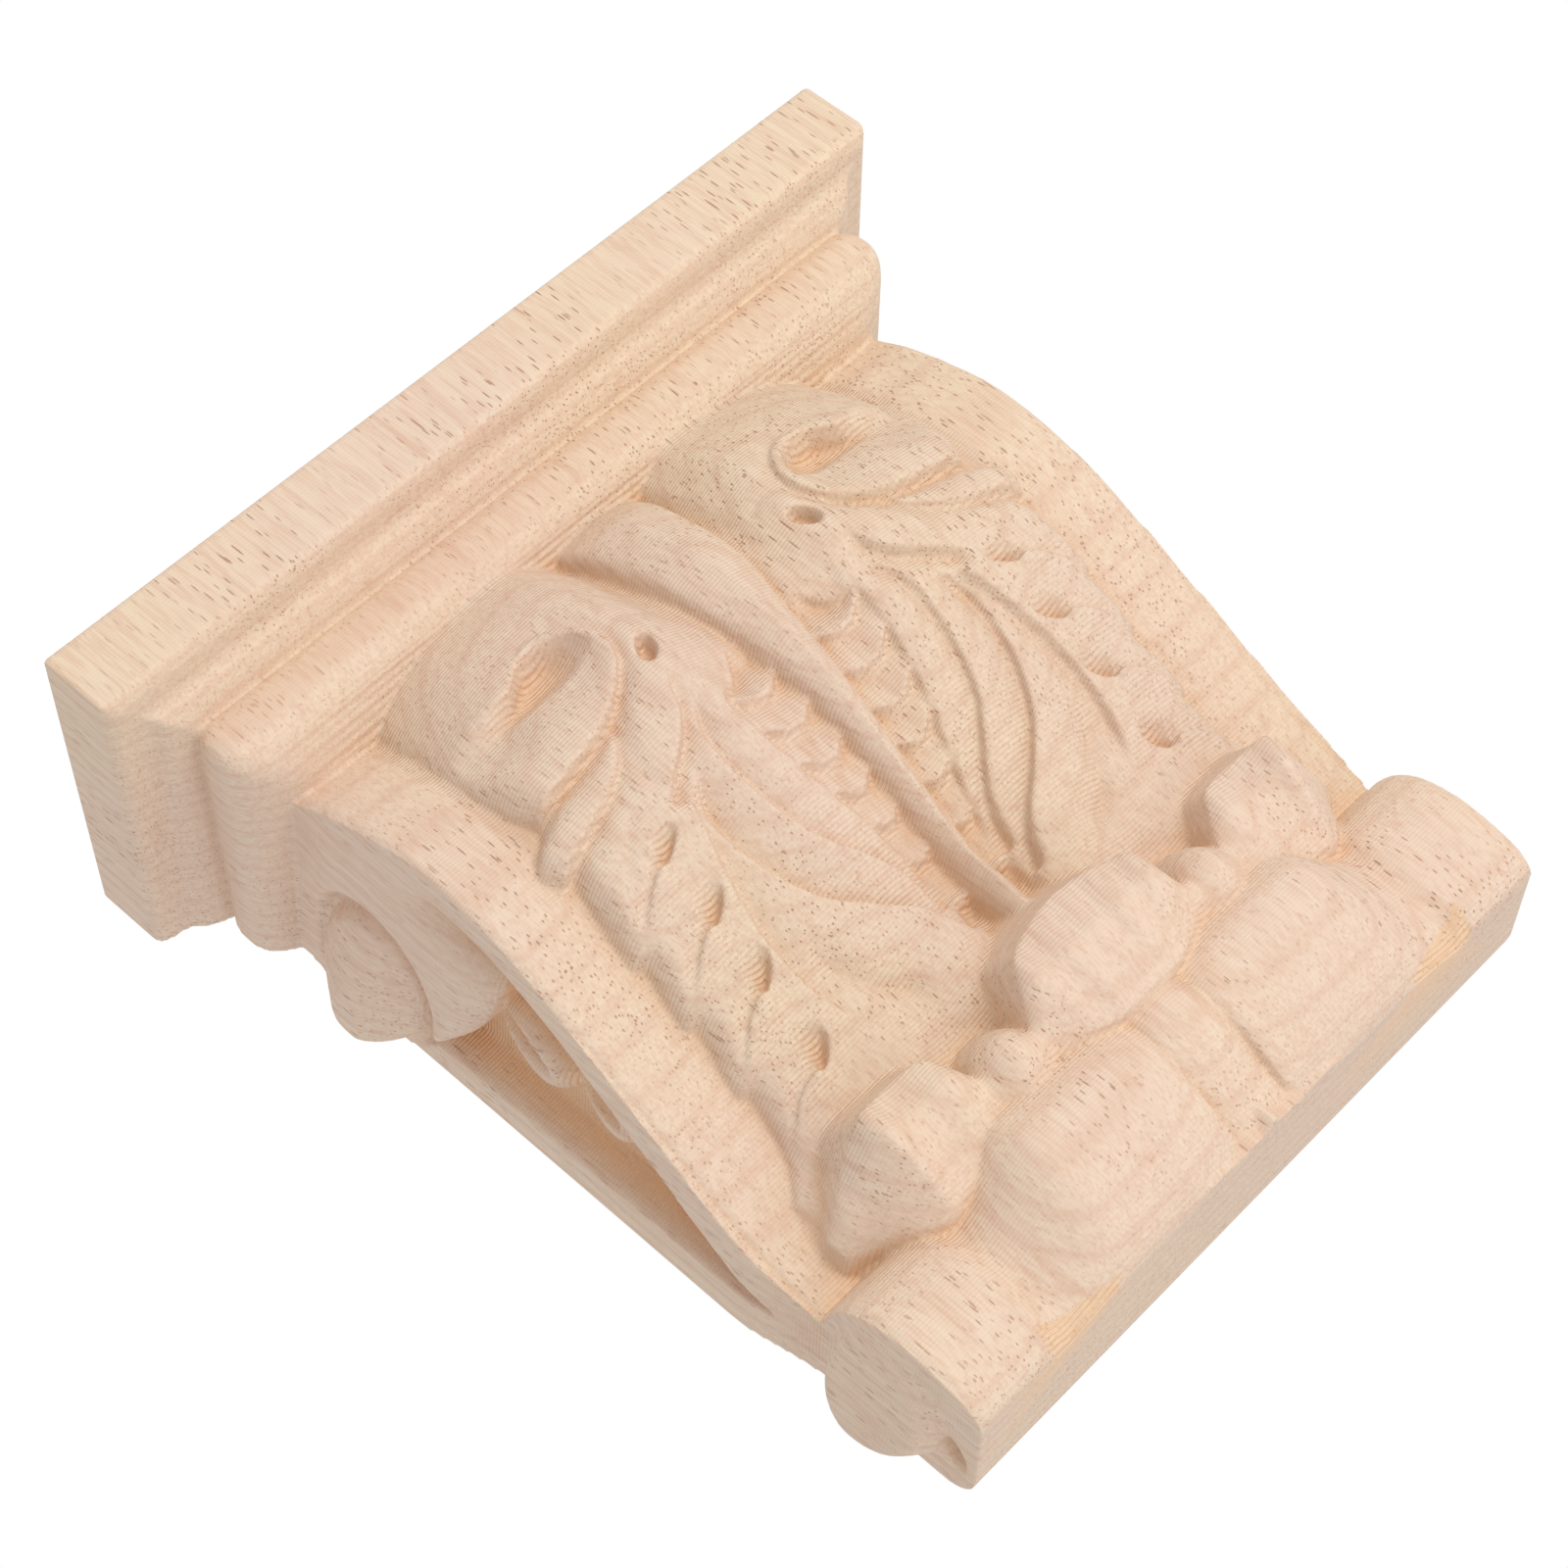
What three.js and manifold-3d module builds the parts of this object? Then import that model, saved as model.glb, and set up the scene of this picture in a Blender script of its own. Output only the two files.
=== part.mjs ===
// A carved wood corbel: a moulded cap, an S-curved body with an acanthus leaf on its front and a
// volute on each side, and a turned-looking roll at the foot, all cut out of one block.
// Millimetres, +Z up. The origin is the centre of the flat back, and the front faces -Y.

import * as THREE from 'three';
import { mergeVertices } from 'three/addons/utils/BufferGeometryUtils.js';
import Module from 'manifold-3d';

// Driving dimensions of the whole corbel
const TOTAL_HEIGHT = 134.7;
const CAP_WIDTH = 130;
const CAP_DEPTH = 50;
const BACK_WIDTH = 106;
const FRONT_WIDTH = 101.6;

// The cap's mouldings, from the top down
const SLAB_HEIGHT = 9.6;
const SLAB_SOFT_EDGE = 1.6;
const FILLET_SETBACK = 5.1;
const FILLET_DROP = 2.5;
const COVE_SETBACK = 9.6;
const COVE_DROP = 5.0;
const ROUND_SETBACK = 8.1;
const ROUND_DROP = 8.8;
const ROUND_END_SETBACK = 10.4;
const ROUND_END_DROP = 13.5;
const UNDERSIDE_SETBACK = 19;
const UNDERSIDE_DROP = 16.8;

// The S-shaped front of the plain margins: how far it stands from the back, going down
const CROWN_DEPTH = 31.0;
const BELLY_DEPTH = 39.2;
const WAIST_DEPTH = 12.3;
const BODY_TOP = 24;
const BELLY_DOWN = 47;
const WAIST_DOWN = 112;

// The roll at the foot
const ROLL_TOP = 107;
const ROLL_COLLAR_HALF = 4.6;
const ROLL_CREASE = 1.6;
const ROLL_BARREL_EASE = 9;
const ROLL_GROOVE_FROM = 24;
const ROLL_GROOVE_TO = 38.8;
const ROLL_GROOVE_DEEP = 1.5;
const FOOT_CORNER = 4.6;

// The leaf on the front
const SCALLOP_LIP = 1.7;
const FOLD_STEP = 1.5;
const PIT_HALF_LENGTH = 2.8;
const PIT_DEEP = 2.6;
const TIPS_FROM = 42;
const TIPS_TO = 46.5;

// The volute, the husk and the sunk ground on each side
const VOLUTE_AT = [19.5, 43.5];
const VOLUTE_RIM_HALF = [17, 15.4];
const VOLUTE_RIM_SUNK = 0.4;
const VOLUTE_EYE_AT = [10.4, 37.8];
const VOLUTE_EYE_HALF = [10.4, 9.2];
const VOLUTE_EYE_PROUD = 2.9;
const VOLUTE_EYE_TILT = 0.22;
const VOLUTE_GROOVE_WIDE = 1.9;
const VOLUTE_GROOVE_SUNK = 2.6;
const GROUND_SUNK = 3.8;
const POCKET_TOP = 30;
const POCKET_BOTTOM = 108;
const HUSK_COUNT = 3;
const HUSK_START = 64.4;
const HUSK_PITCH = 11.2;
const HUSK_HALF = [5.0, 7.6];
const HUSK_PROUD = 4.8;
const HUSK_LEAN = 0.25;
const BACK_STRIP = 4.8;
const END_EYE_AT = [10.9, 121.4];
const END_EYE_HALF = [11.3, 8.6];
const END_EYE_PROUD = 4.1;
const END_EYE_TILT = 0.05;

// How finely the carved faces are divided
const FRONT_COLUMNS = 50;
const ROWS_TO = [[0, 20], [4, 34], [39, 100], [51, 118], [58, TOTAL_HEIGHT]];
const POCKET_STEPS = 20;
const MARGIN_COLUMN_SHARE = 0.13;
const MARGIN_COLUMNS_OVER = 6.8;
const PATCH_STEP = 0.9;

const TOP = TOTAL_HEIGHT / 2;
const HALF_BACK = BACK_WIDTH / 2;
const HALF_FRONT = FRONT_WIDTH / 2;
const GROUND_OUT = HALF_FRONT - GROUND_SUNK;
const GROOVE_OUT = HALF_BACK - VOLUTE_GROOVE_SUNK;

const wasm = await Module();
wasm.setup();

// A closed three.js geometry as a solid that can be joined and cut
function solid(geometry) {
  const bare = new THREE.BufferGeometry();
  bare.setAttribute('position', geometry.getAttribute('position'));
  bare.setIndex(geometry.getIndex());
  const merged = mergeVertices(bare, 1e-4);
  return new wasm.Manifold(
    new wasm.Mesh({
      numProp: 3,
      vertProperties: new Float32Array(merged.getAttribute('position').array),
      triVerts: new Uint32Array(merged.getIndex().array),
    })
  );
}

// A solid back as a three.js geometry
function geometryOf(manifold) {
  const mesh = manifold.getMesh();
  const geometry = new THREE.BufferGeometry();
  geometry.setAttribute('position', new THREE.BufferAttribute(mesh.vertProperties, 3));
  geometry.setIndex(new THREE.BufferAttribute(mesh.triVerts, 1));
  geometry.computeVertexNormals();
  return geometry;
}

// Curve helpers

const clamp01 = (t) => Math.min(1, Math.max(0, t));

function smooth(from, to, value) {
  const t = clamp01((value - from) / (to - from));
  return t * t * (3 - 2 * t);
}

const bell = (offset, width) => Math.exp(-((offset / width) ** 2));

// A smooth curve through knots [position, value], read at a position
function along(knots, position) {
  const last = knots.length - 1;
  if (position <= knots[0][0]) return knots[0][1];
  if (position >= knots[last][0]) return knots[last][1];
  let i = 0;
  while (position > knots[i + 1][0]) i += 1;
  const slope = (j) => {
    const before = knots[Math.max(0, j - 1)];
    const after = knots[Math.min(last, j + 1)];
    return (after[1] - before[1]) / (after[0] - before[0]);
  };
  const [x0, y0] = knots[i];
  const [x1, y1] = knots[i + 1];
  const span = x1 - x0;
  const t = (position - x0) / span;
  const rise = t * t * (3 - 2 * t);
  return (
    y0 + (y1 - y0) * rise
    + slope(i) * span * t * (1 - t) * (1 - t)
    - slope(i + 1) * span * t * t * (1 - t)
  );
}

// Distance from a point to a chain of points, how far along the chain the nearest spot is, and how
// far the point lies to the left of someone who walks the chain down the page
function nearChain(chain, x, y) {
  let best = Infinity;
  let share = 0;
  let side = 0;
  for (let i = 0; i < chain.length - 1; i += 1) {
    const [ax, ay] = chain[i];
    const [bx, by] = chain[i + 1];
    const length2 = (bx - ax) ** 2 + (by - ay) ** 2;
    const t = clamp01(((x - ax) * (bx - ax) + (y - ay) * (by - ay)) / length2);
    const gap = Math.hypot(x - ax - t * (bx - ax), y - ay - t * (by - ay));
    if (gap < best) {
      best = gap;
      share = (i + t) / (chain.length - 1);
      side = ((x - ax) * (by - ay) - (y - ay) * (bx - ax)) / Math.sqrt(length2);
    }
  }
  return { gap: best, share, side };
}

// The front: the plain margins, then the leaf that stands on them

const MARGIN_KNOTS = [
  [BODY_TOP, CROWN_DEPTH],
  [BODY_TOP + 9, CROWN_DEPTH + 4.5],
  [BELLY_DOWN, BELLY_DEPTH],
  [BELLY_DOWN + 15, BELLY_DEPTH - 2.7],
  [BELLY_DOWN + 35, BELLY_DEPTH - 13.1],
  [BELLY_DOWN + 51, WAIST_DEPTH + 4.8],
  [WAIST_DOWN, WAIST_DEPTH],
];

const marginDepth = (down) => along(MARGIN_KNOTS, down);

// The leaf's body: how high it stands across, near its top, in its middle and low down
const LEAF_UPPER = [[0, 6.6], [5.4, 5.6], [7.4, 4.8], [9.6, 6.3], [14, 8.7], [20, 8.6], [28, 7.3],
  [34, 5.8], [41, 3.2]];
const LEAF_MIDDLE = [[0, 6], [3.2, 4.6], [5, 4.4], [9, 5.8], [13.5, 7.6], [18, 7.2], [24, 6.6],
  [35, 4.9], [41, 3]];
const LEAF_LOWER = [[0, 4.6], [1.9, 3.2], [3.6, 3.2], [7, 5.4], [12, 7.3], [18, 7.1], [30, 5.6], [35, 4.4],
  [41, 2.8]];
const LEAF_EDGE = [[24, 38], [40, 38.6], [50, 38.2], [53.4, 37.4], [57, 40.6], [71, 40.4], [72.4, 39],
  [79, 40.2], [80.6, 38.8], [88, 40.4], [89.4, 39], [100, 43.5]];
const EDGE_ROUND = [[24, 11], [38, 10.5], [42, 5.5], [50, 4.2], [58, 3.8], [64, 2.8], [94, 3.4]];
const RIB_HALF = [[24, 6.8], [36, 5.8], [46, 4.9], [52, 3.9], [58, 3.4], [65, 2.8], [92, 2.2]];
const SCALLOP_OUT = [[56, 11.4], [66, 10.8], [72, 9.2], [80, 7.2], [96, 5.6]];
const SCALLOP_FEET = [56.6, 61.2, 66.2, 71, 75.4, 79.8, 84.4, 90.2];

// The folds, each lying over the next below it: a line, how far the step at it falls, and how
// quickly the lower fold climbs back out
const FOLDS = [
  { line: [[25.6, 36.4], [21.4, 35.4], [17.6, 38], [15.9, 42.2], [17.3, 46.2], [20.4, 49], [24.8, 51.2],
    [29.9, 52.2], [39.6, 53.2]], drop: [0.3, 3.4], reach: 2.6 },
  { line: [[23.2, 50.2], [24.8, 53.4], [28.6, 56.9], [34.2, 58.6], [40.2, 60]],
    drop: [0.4, 2.4], reach: 2.4 },
  { line: [[15.2, 51.4], [16.4, 55.3], [18.6, 58], [22, 60.5], [26.8, 63.6]], drop: [1.1, 1.1], reach: 2.2 },
  { line: [[13.8, 54.4], [16.7, 60.5], [16.5, 67.5], [14.2, 75], [10.5, 79.8], [7.4, 84], [6.2, 89.5]],
    drop: [1, 1.6], reach: 2.4 },
  { line: [[19.6, 60.6], [22.7, 66.4], [21.7, 74], [18.4, 80.6], [13, 85.6], [8.8, 89], [6, 94]],
    drop: [1, 2.4], reach: 2.8 },
  { line: [[22.8, 63], [25, 69], [26.8, 75.8], [27.3, 81.3], [26.6, 87], [24.6, 93]],
    drop: [1.3, 1.5], reach: 3 },
  { line: [[38.8, 71.6], [35.2, 69.4], [31.4, 66.8]], drop: [1.6, 1], reach: 2.2 },
  { line: [[39, 79.6], [35, 77.3], [31.6, 74.6]], drop: [1.6, 1], reach: 2.2 },
  { line: [[39.6, 88.2], [35.6, 86.2], [32, 83]], drop: [1.6, 1], reach: 2.2 },
  { line: [[40.4, 96.4], [36.4, 94.8], [32.4, 92.3]], drop: [1.6, 1], reach: 2.2 },
];
const LOWER_CREASE = [[24.3, 82], [22.6, 87], [19.4, 91.5], [14.5, 96]];

// The eye-like pits between the outer lobes: across, down, half its width, and its slant
const PITS = [[29.6, 65.8, 1.2, 0.45], [29.9, 73.5, 1.4, 0.56], [30.4, 81.6, 1.5, 0.7], [31, 91, 1.7, 0.77]];

// The drilled eyelet between the leaf's folds
const EYELET = { across: 13.7, down: 47.4, half: [1.9, 2.6], deep: 3.4 };

// The comma-shaped hollow in the crook of the rolled top
const HOLLOW_ROOF = [[17.2, 41.6], [18.6, 38.9], [21.6, 37], [24.8, 37], [27.2, 38.8], [29, 40.2], [33, 39.4],
  [39, 39.6]];
const HOLLOW_SILL = [[17.2, 42.4], [21, 43.6], [25.7, 43.3], [30.4, 43], [35.3, 42.7], [39, 41.8]];
const HOLLOW_DEEP = [[17, 0], [18.6, 2.2], [21, 4.4], [24, 5], [27, 4.4], [29, 3.4], [33, 3.4], [37, 2.8],
  [39.5, 1]];

// One fold over another: the height that the step at its line takes away or adds. The coarse
// grid softens a step, so it is made a little deeper than the carver's.
function lap(fold, across, down) {
  const { gap, share, side } = nearChain(fold.line, across, down);
  const drop = fold.drop[0] + (fold.drop[1] - fold.drop[0]) * share;
  const fade = smooth(0, 0.1, share) * (1 - smooth(0.95, 1, share));
  const over = smooth(-0.5, 0.5, side);
  const under = (1 - over) * Math.exp(-((gap / fold.reach) ** 1.4));
  const lifted = 0.15 * over * Math.exp(-((gap / (1.3 * fold.reach)) ** 1.4));
  return FOLD_STEP * fade * drop * (lifted - under);
}

function curlHollow(across, down) {
  const roof = along(HOLLOW_ROOF, across);
  const sill = along(HOLLOW_SILL, across);
  const share = (down - roof) / (sill - roof);
  const wall = smooth(-0.2, 0.45, share);
  const climb = 1 - 0.55 * smooth(0.5, 1, share);
  const leave = Math.exp(-((Math.max(0, down - sill) / 4.2) ** 1.6));
  const here = smooth(16.4, 18.4, across) * (1 - smooth(38.5, 40, across));
  return along(HOLLOW_DEEP, across) * wall * climb * leave * here;
}

function leafHeight(across, down) {
  const toMiddle = smooth(38, 58, down);
  const toLower = smooth(62, 84, down);
  let height = along(LEAF_UPPER, across) * (1 - toMiddle)
    + along(LEAF_MIDDLE, across) * toMiddle * (1 - toLower)
    + along(LEAF_LOWER, across) * toMiddle * toLower;

  // The middle rib is a long round bead, with a narrow channel on each side
  const rib = along(RIB_HALF, down);
  if (across < rib) height += (1.3 * Math.sqrt(1 - (across / rib) ** 2) + 0.9) * smooth(22, 30, down);
  height -= 1.1 * bell(across - rib - 0.8, 1.2);

  // Scoops one under the other beside the rib, each with a curved lip
  const out = along(SCALLOP_OUT, down);
  const centred = (2 * across - rib - out) / (out - rib);
  const row = smooth(-0.3, 0.8, across - rib) * (1 - smooth(-1, 0.8, across - out));
  for (let i = 0; i < SCALLOP_FEET.length - 1; i += 1) {
    const share = (down - SCALLOP_FEET[i] + 1.8 * centred ** 2) / (SCALLOP_FEET[i + 1] - SCALLOP_FEET[i]);
    if (share > 0 && share < 1) height += row * SCALLOP_LIP * share * (1 - smooth(0.7, 1, share));
  }

  for (const fold of FOLDS) height += lap(fold, across, down);
  height -= 1.5 * bell(nearChain(LOWER_CREASE, across, down).gap, 2);
  height -= curlHollow(across, down);

  const eyelet = Math.hypot((across - EYELET.across) / EYELET.half[0], (down - EYELET.down) / EYELET.half[1]);
  height -= EYELET.deep * (1 - smooth(0.3, 1.3, eyelet));

  for (const [pitAcross, pitDown, wide, slant] of PITS) {
    const [sin, cos] = [Math.sin(slant), Math.cos(slant)];
    const u = (across - pitAcross) * cos + (down - pitDown) * sin;
    const v = (down - pitDown) * cos - (across - pitAcross) * sin;
    const long = 1 - clamp01(Math.abs(u) / PIT_HALF_LENGTH) ** 2.4;
    height -= PIT_DEEP * long * smooth(-1.9 * wide, 0.4 * wide, v) * (1 - smooth(0.5 * wide, 1.5 * wide, v));
  }

  // Towards its tips the leaf sweeps outwards
  height += 4.1 * smooth(84, 100, down) * Math.exp(-((across / 13) ** 4));
  height += 2.2 * smooth(92, 102, down) * Math.exp(-(((across - 30) / 9) ** 4));
  return height;
}

// The tips at the foot of the leaf turn outwards in one wavy lip: a broad fold in the middle, a
// knob beside it, and a fluted fold at each side
const CREST_DOWN = [[0, 99.6], [5, 100.4], [8, 101.4], [10.6, 102.8], [12.2, 105.6], [13.8, 108.4], [21, 109],
  [23.4, 104.8], [25.6, 102.1], [31, 101.6], [36.6, 102.4], [40, 103.6], [44, 105.4], [47, 107]];
const CREST_DEPTH = [[0, 33.6], [8, 33.9], [10.6, 33.9], [12.2, 32.2], [13.8, 29.6], [17, 28.4], [21, 27.8],
  [23.4, 28.8], [25.6, 29.6], [31, 29.8], [36.6, 30.5], [38.6, 28.2], [41, 23.8], [44, 18.2], [47, 13.5]];
const TIP_FOOT_DOWN = [[0, 115.4], [5, 115.2], [9, 113.9], [12.6, 112.7], [21.6, 112.3], [26, 113.9],
  [31, 115.4], [35, 116], [39, 113.6], [42, 110.8], [47, 108]];
const TIP_FOOT_DEPTH = [[0, 30.6], [5, 30.2], [12.6, 28.4], [17, 27.6], [21.6, 27], [26, 26.2], [31, 24.4],
  [35, 22.9], [39, 21], [42, 18.2], [47, 13]];
const FLUTES = [[0, 0.3], [2.4, -0.2], [5, 0.7], [8, -0.4], [10.4, 0.6], [12.4, -0.3], [14.2, 0],
  [22.6, -0.2], [25.6, 0.8], [29.6, -0.5], [33.4, 0], [35.8, 1.5], [38, -0.3], [40.5, -0.7], [43, 0.2],
  [47, 0]];
const KNOB = { across: 17.4, down: 109.4, half: [5, 5.5], depth: 25.6, proud: 6.8 };

function tipDepth(across, down) {
  const crestDown = along(CREST_DOWN, across);
  const crest = along(CREST_DEPTH, across);
  const footDown = along(TIP_FOOT_DOWN, across);
  const foot = along(TIP_FOOT_DEPTH, across);
  const share = clamp01((down - crestDown) / (footDown - crestDown));
  let depth = crest + (foot - crest) * share ** 1.5 + 0.7 * Math.sin(Math.PI * share);
  depth += along(FLUTES, across) * Math.sin(Math.PI * clamp01(0.22 + 0.72 * share));
  const gap = Math.min(12, Math.max(0, crestDown - down));
  if (gap > 0) depth = crest - 1.9 * gap + 0.05 * gap * gap;
  depth -= 9 * smooth(-0.3, 1.3, down - footDown);
  const knob = ((across - KNOB.across) / KNOB.half[0]) ** 2 + ((down - KNOB.down) / KNOB.half[1]) ** 2;
  return knob < 1 ? Math.max(depth, KNOB.depth + KNOB.proud * Math.sqrt(1 - knob)) : depth;
}

// The roll at the foot: two fat barrels beside a narrow collar, and a plain end beyond a groove on
// each side. Each profile goes down its front, as depth from the back.
const BARREL = [[108, 20], [110, 24.4], [112.6, 27.4], [116, 29.4], [120, 29.8], [125, 28.4], [130, 25.8],
  [134.7, 21.4]];
const COLLAR = [[108, 20], [110, 24], [113, 27.6], [115.4, 29.2], [119, 29.6], [123.1, 28.3], [128.2, 25.2],
  [134.7, 20.8]];
const PLAIN_END = [[108, 11], [110.6, 12.6], [112.2, 17], [115, 20.6], [119, 22.7], [124, 23.3], [130, 22.3],
  [134.7, 20.4]];

function rollDepth(across, down) {
  const end = along(PLAIN_END, down);
  if (across < ROLL_COLLAR_HALF) {
    return along(COLLAR, down) - ROLL_CREASE * (across / ROLL_COLLAR_HALF) ** 2.4;
  }
  if (across > ROLL_GROOVE_TO) return end;
  const ease = clamp01(1 - (across - ROLL_COLLAR_HALF) / ROLL_BARREL_EASE);
  const barrel = along(BARREL, down) - ROLL_CREASE * ease ** 1.8;
  const inGroove = clamp01((across - ROLL_GROOVE_FROM) / (ROLL_GROOVE_TO - ROLL_GROOVE_FROM));
  const fall = smooth(0, 0.85, inGroove);
  const climb = ROLL_GROOVE_DEEP * smooth(0.72, 1, inGroove);
  return barrel * (1 - fall) + (end - ROLL_GROOVE_DEEP) * fall + climb;
}

function frontDepth(x, down) {
  const across = Math.abs(x);
  const margin = marginDepth(down);
  const edge = along(LEAF_EDGE, down);
  const reach = along(EDGE_ROUND, down);
  const turn = clamp01((across - edge + reach) / (reach + 0.4));
  const inside = (1 - turn ** 2.2) ** 0.62;
  const beside = bell(across - edge - 1.4, 2) * (1 - smooth(88, 96, down));
  let depth = margin + inside * leafHeight(across, down) - 0.5 * beside;
  const tips = tipDepth(across, down) - depth;
  if (tips > 0) depth += tips * (1 - smooth(TIPS_FROM, TIPS_TO, across));
  return down > ROLL_TOP ? Math.max(depth, rollDepth(across, down)) : depth;
}

// The sides: a band that follows the S, a sunk ground, a volute and a husk of small leaves

const BAND_KNOTS = [[24, 12], [40, 5], [60, 5.2], [80, 6.6], [100, 9.5], [112, 12]];
const bandWidth = (down) => along(BAND_KNOTS, down);

// Turns a shape drawn as depth and height into a solid that runs across the corbel
function acrossCorbel(shape, from, to, curveSegments) {
  const geometry = new THREE.ExtrudeGeometry(shape, { depth: to - from, bevelEnabled: false, curveSegments });
  const turn = new THREE.Matrix4().makeBasis(
    new THREE.Vector3(0, -1, 0),
    new THREE.Vector3(0, 0, 1),
    new THREE.Vector3(-1, 0, 0)
  );
  geometry.applyMatrix4(turn);
  geometry.translate(to, 0, 0);
  return solid(geometry);
}

// The sunk ground between the band and the strip along the back
function pocket(side) {
  const shape = new THREE.Shape();
  const bandEdge = (down) => marginDepth(down) - bandWidth(down);
  shape.moveTo(BACK_STRIP, TOP - POCKET_TOP);
  for (let i = 0; i <= POCKET_STEPS; i += 1) {
    const down = POCKET_TOP + ((POCKET_BOTTOM - POCKET_TOP) * i) / POCKET_STEPS;
    shape.lineTo(Math.max(BACK_STRIP + 0.4 * (1 - i / POCKET_STEPS), bandEdge(down)), TOP - down);
  }
  shape.closePath();
  const outer = HALF_BACK + GROUND_SUNK;
  return side > 0 ? acrossCorbel(shape, GROUND_OUT, outer, 1) : acrossCorbel(shape, -outer, -GROUND_OUT, 1);
}

// A turned shape on a side face: its outline goes from its rim inwards, as share of its half size
// and distance from the middle of the corbel
function turned(side, at, half, outline, segments, tilt) {
  const profile = outline.map(([share, out]) => new THREE.Vector2(share, out));
  const geometry = new THREE.LatheGeometry(profile, segments);
  geometry.rotateZ(-Math.PI / 2);
  geometry.scale(1, half[0], half[1]);
  const position = geometry.getAttribute('position');
  for (let i = 0; i < position.count; i += 1) {
    const lean = position.getX(i) > GROOVE_OUT ? tilt * position.getY(i) : 0;
    position.setX(i, side * (position.getX(i) + lean));
  }
  geometry.translate(0, -at[0], TOP - at[1]);
  return solid(side < 0 ? flipped(geometry) : geometry);
}

// The volute: a rim that overhangs the ground, a groove, and an eye like a big flat button
function volute(side, body) {
  const root = GROUND_OUT - 2;
  const rimOut = HALF_BACK - VOLUTE_RIM_SUNK;
  const rise = HALF_BACK + VOLUTE_EYE_PROUD - GROOVE_OUT;
  const rim = [[0, root], [0.97, root], [1, GROOVE_OUT + 0.6], [0.95, rimOut - 0.4], [0.86, rimOut],
    [0, rimOut]];
  const eye = [[0, root], [1, root], [1, GROOVE_OUT], [0.94, GROOVE_OUT + 0.5 * rise],
    [0.82, GROOVE_OUT + 0.76 * rise], [0.6, GROOVE_OUT + 0.93 * rise], [0, GROOVE_OUT + rise]];
  const groove = [[0, GROOVE_OUT], [0.9, GROOVE_OUT], [1, GROOVE_OUT + 1.4], [1.04, HALF_BACK + 3],
    [0, HALF_BACK + 3]];
  const wide = VOLUTE_EYE_HALF.map((half) => half + VOLUTE_GROOVE_WIDE);
  return body
    .add(turned(side, VOLUTE_AT, VOLUTE_RIM_HALF, rim, 26, 0))
    .subtract(turned(side, VOLUTE_EYE_AT, wide, groove, 22, 0))
    .add(turned(side, VOLUTE_EYE_AT, VOLUTE_EYE_HALF, eye, 22, VOLUTE_EYE_TILT));
}

// The button on each end of the roll
function endEye(side) {
  const root = HALF_FRONT - 3;
  const face = HALF_FRONT + END_EYE_PROUD;
  const outline = [[0, root], [1, root], [1, HALF_FRONT], [0.9, HALF_FRONT + 0.54 * END_EYE_PROUD],
    [0.72, HALF_FRONT + 0.83 * END_EYE_PROUD], [0.5, face], [0, face]];
  return turned(side, END_EYE_AT, END_EYE_HALF, outline, 20, END_EYE_TILT);
}

// The husk: leaves one under the other, each a little smaller, along the band
function husk(side) {
  let whole = null;
  for (let i = 0; i < HUSK_COUNT; i += 1) {
    const down = HUSK_START + i * HUSK_PITCH;
    const leaf = new THREE.SphereGeometry(1, 12, 8);
    leaf.scale(HUSK_PROUD - 0.8 * i, HUSK_HALF[0] - 0.5 * i, HUSK_HALF[1] - 0.7 * i);
    leaf.rotateX(HUSK_LEAN);
    const depth = marginDepth(down) - bandWidth(down) - HUSK_HALF[0] - 5.6 + 2.2 * i;
    leaf.translate(side * GROUND_OUT, -depth, TOP - down);
    const piece = solid(leaf);
    whole = whole ? whole.add(piece) : piece;
  }
  return whole;
}

// The winding of a mirrored geometry's triangles, put right again
function flipped(geometry) {
  const index = Array.from(geometry.getIndex().array);
  for (let i = 0; i < index.length; i += 3) {
    [index[i + 1], index[i + 2]] = [index[i + 2], index[i + 1]];
  }
  geometry.setIndex(index);
  return geometry;
}

// A box whose front is moved by a function of where each point lies
function carvedBox(across, up, move) {
  const geometry = new THREE.BoxGeometry(2, 1, 1, across, 1, up);
  const position = geometry.getAttribute('position');
  for (let i = 0; i < position.count; i += 1) {
    const place = move(position.getX(i), 0.5 - position.getY(i), 0.5 - position.getZ(i));
    position.setXYZ(i, place[0], place[1], place[2]);
  }
  return solid(geometry);
}

// Spreads the columns so that the plain margins take few of them
function spread(share) {
  const leaf = 1 - MARGIN_COLUMN_SHARE;
  const size = Math.abs(share);
  const leafEnd = HALF_FRONT - MARGIN_COLUMNS_OVER;
  const value = size < leaf
    ? (size / leaf) * leafEnd
    : leafEnd + ((size - leaf) / MARGIN_COLUMN_SHARE) * MARGIN_COLUMNS_OVER;
  return Math.sign(share) * value;
}

// The front as a coarse grid can show it: each point takes the mean of a small patch round it
function softFront(x, down) {
  let sum = 0;
  for (const i of [-1, 0, 1]) {
    for (const j of [-1, 0, 1]) {
      const spot = Math.min(TOTAL_HEIGHT, Math.max(BODY_TOP - 4, down + j * PATCH_STEP));
      sum += frontDepth(x + i * PATCH_STEP, spot);
    }
  }
  return sum / 9;
}

// The body: its sides lean in a little from the back to the front
function carvedBody() {
  const rows = ROWS_TO[ROWS_TO.length - 1][0];
  return carvedBox(FRONT_COLUMNS, rows, (across, back, below) => {
    const x = spread(across);
    const down = along(ROWS_TO, below * rows);
    const lean = BACK_WIDTH / FRONT_WIDTH;
    return [back > 0.5 ? x : x * lean, -back * softFront(x, down), TOP - down];
  });
}

// The cap: one moulding profile run along the front and returned along both ends

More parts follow.
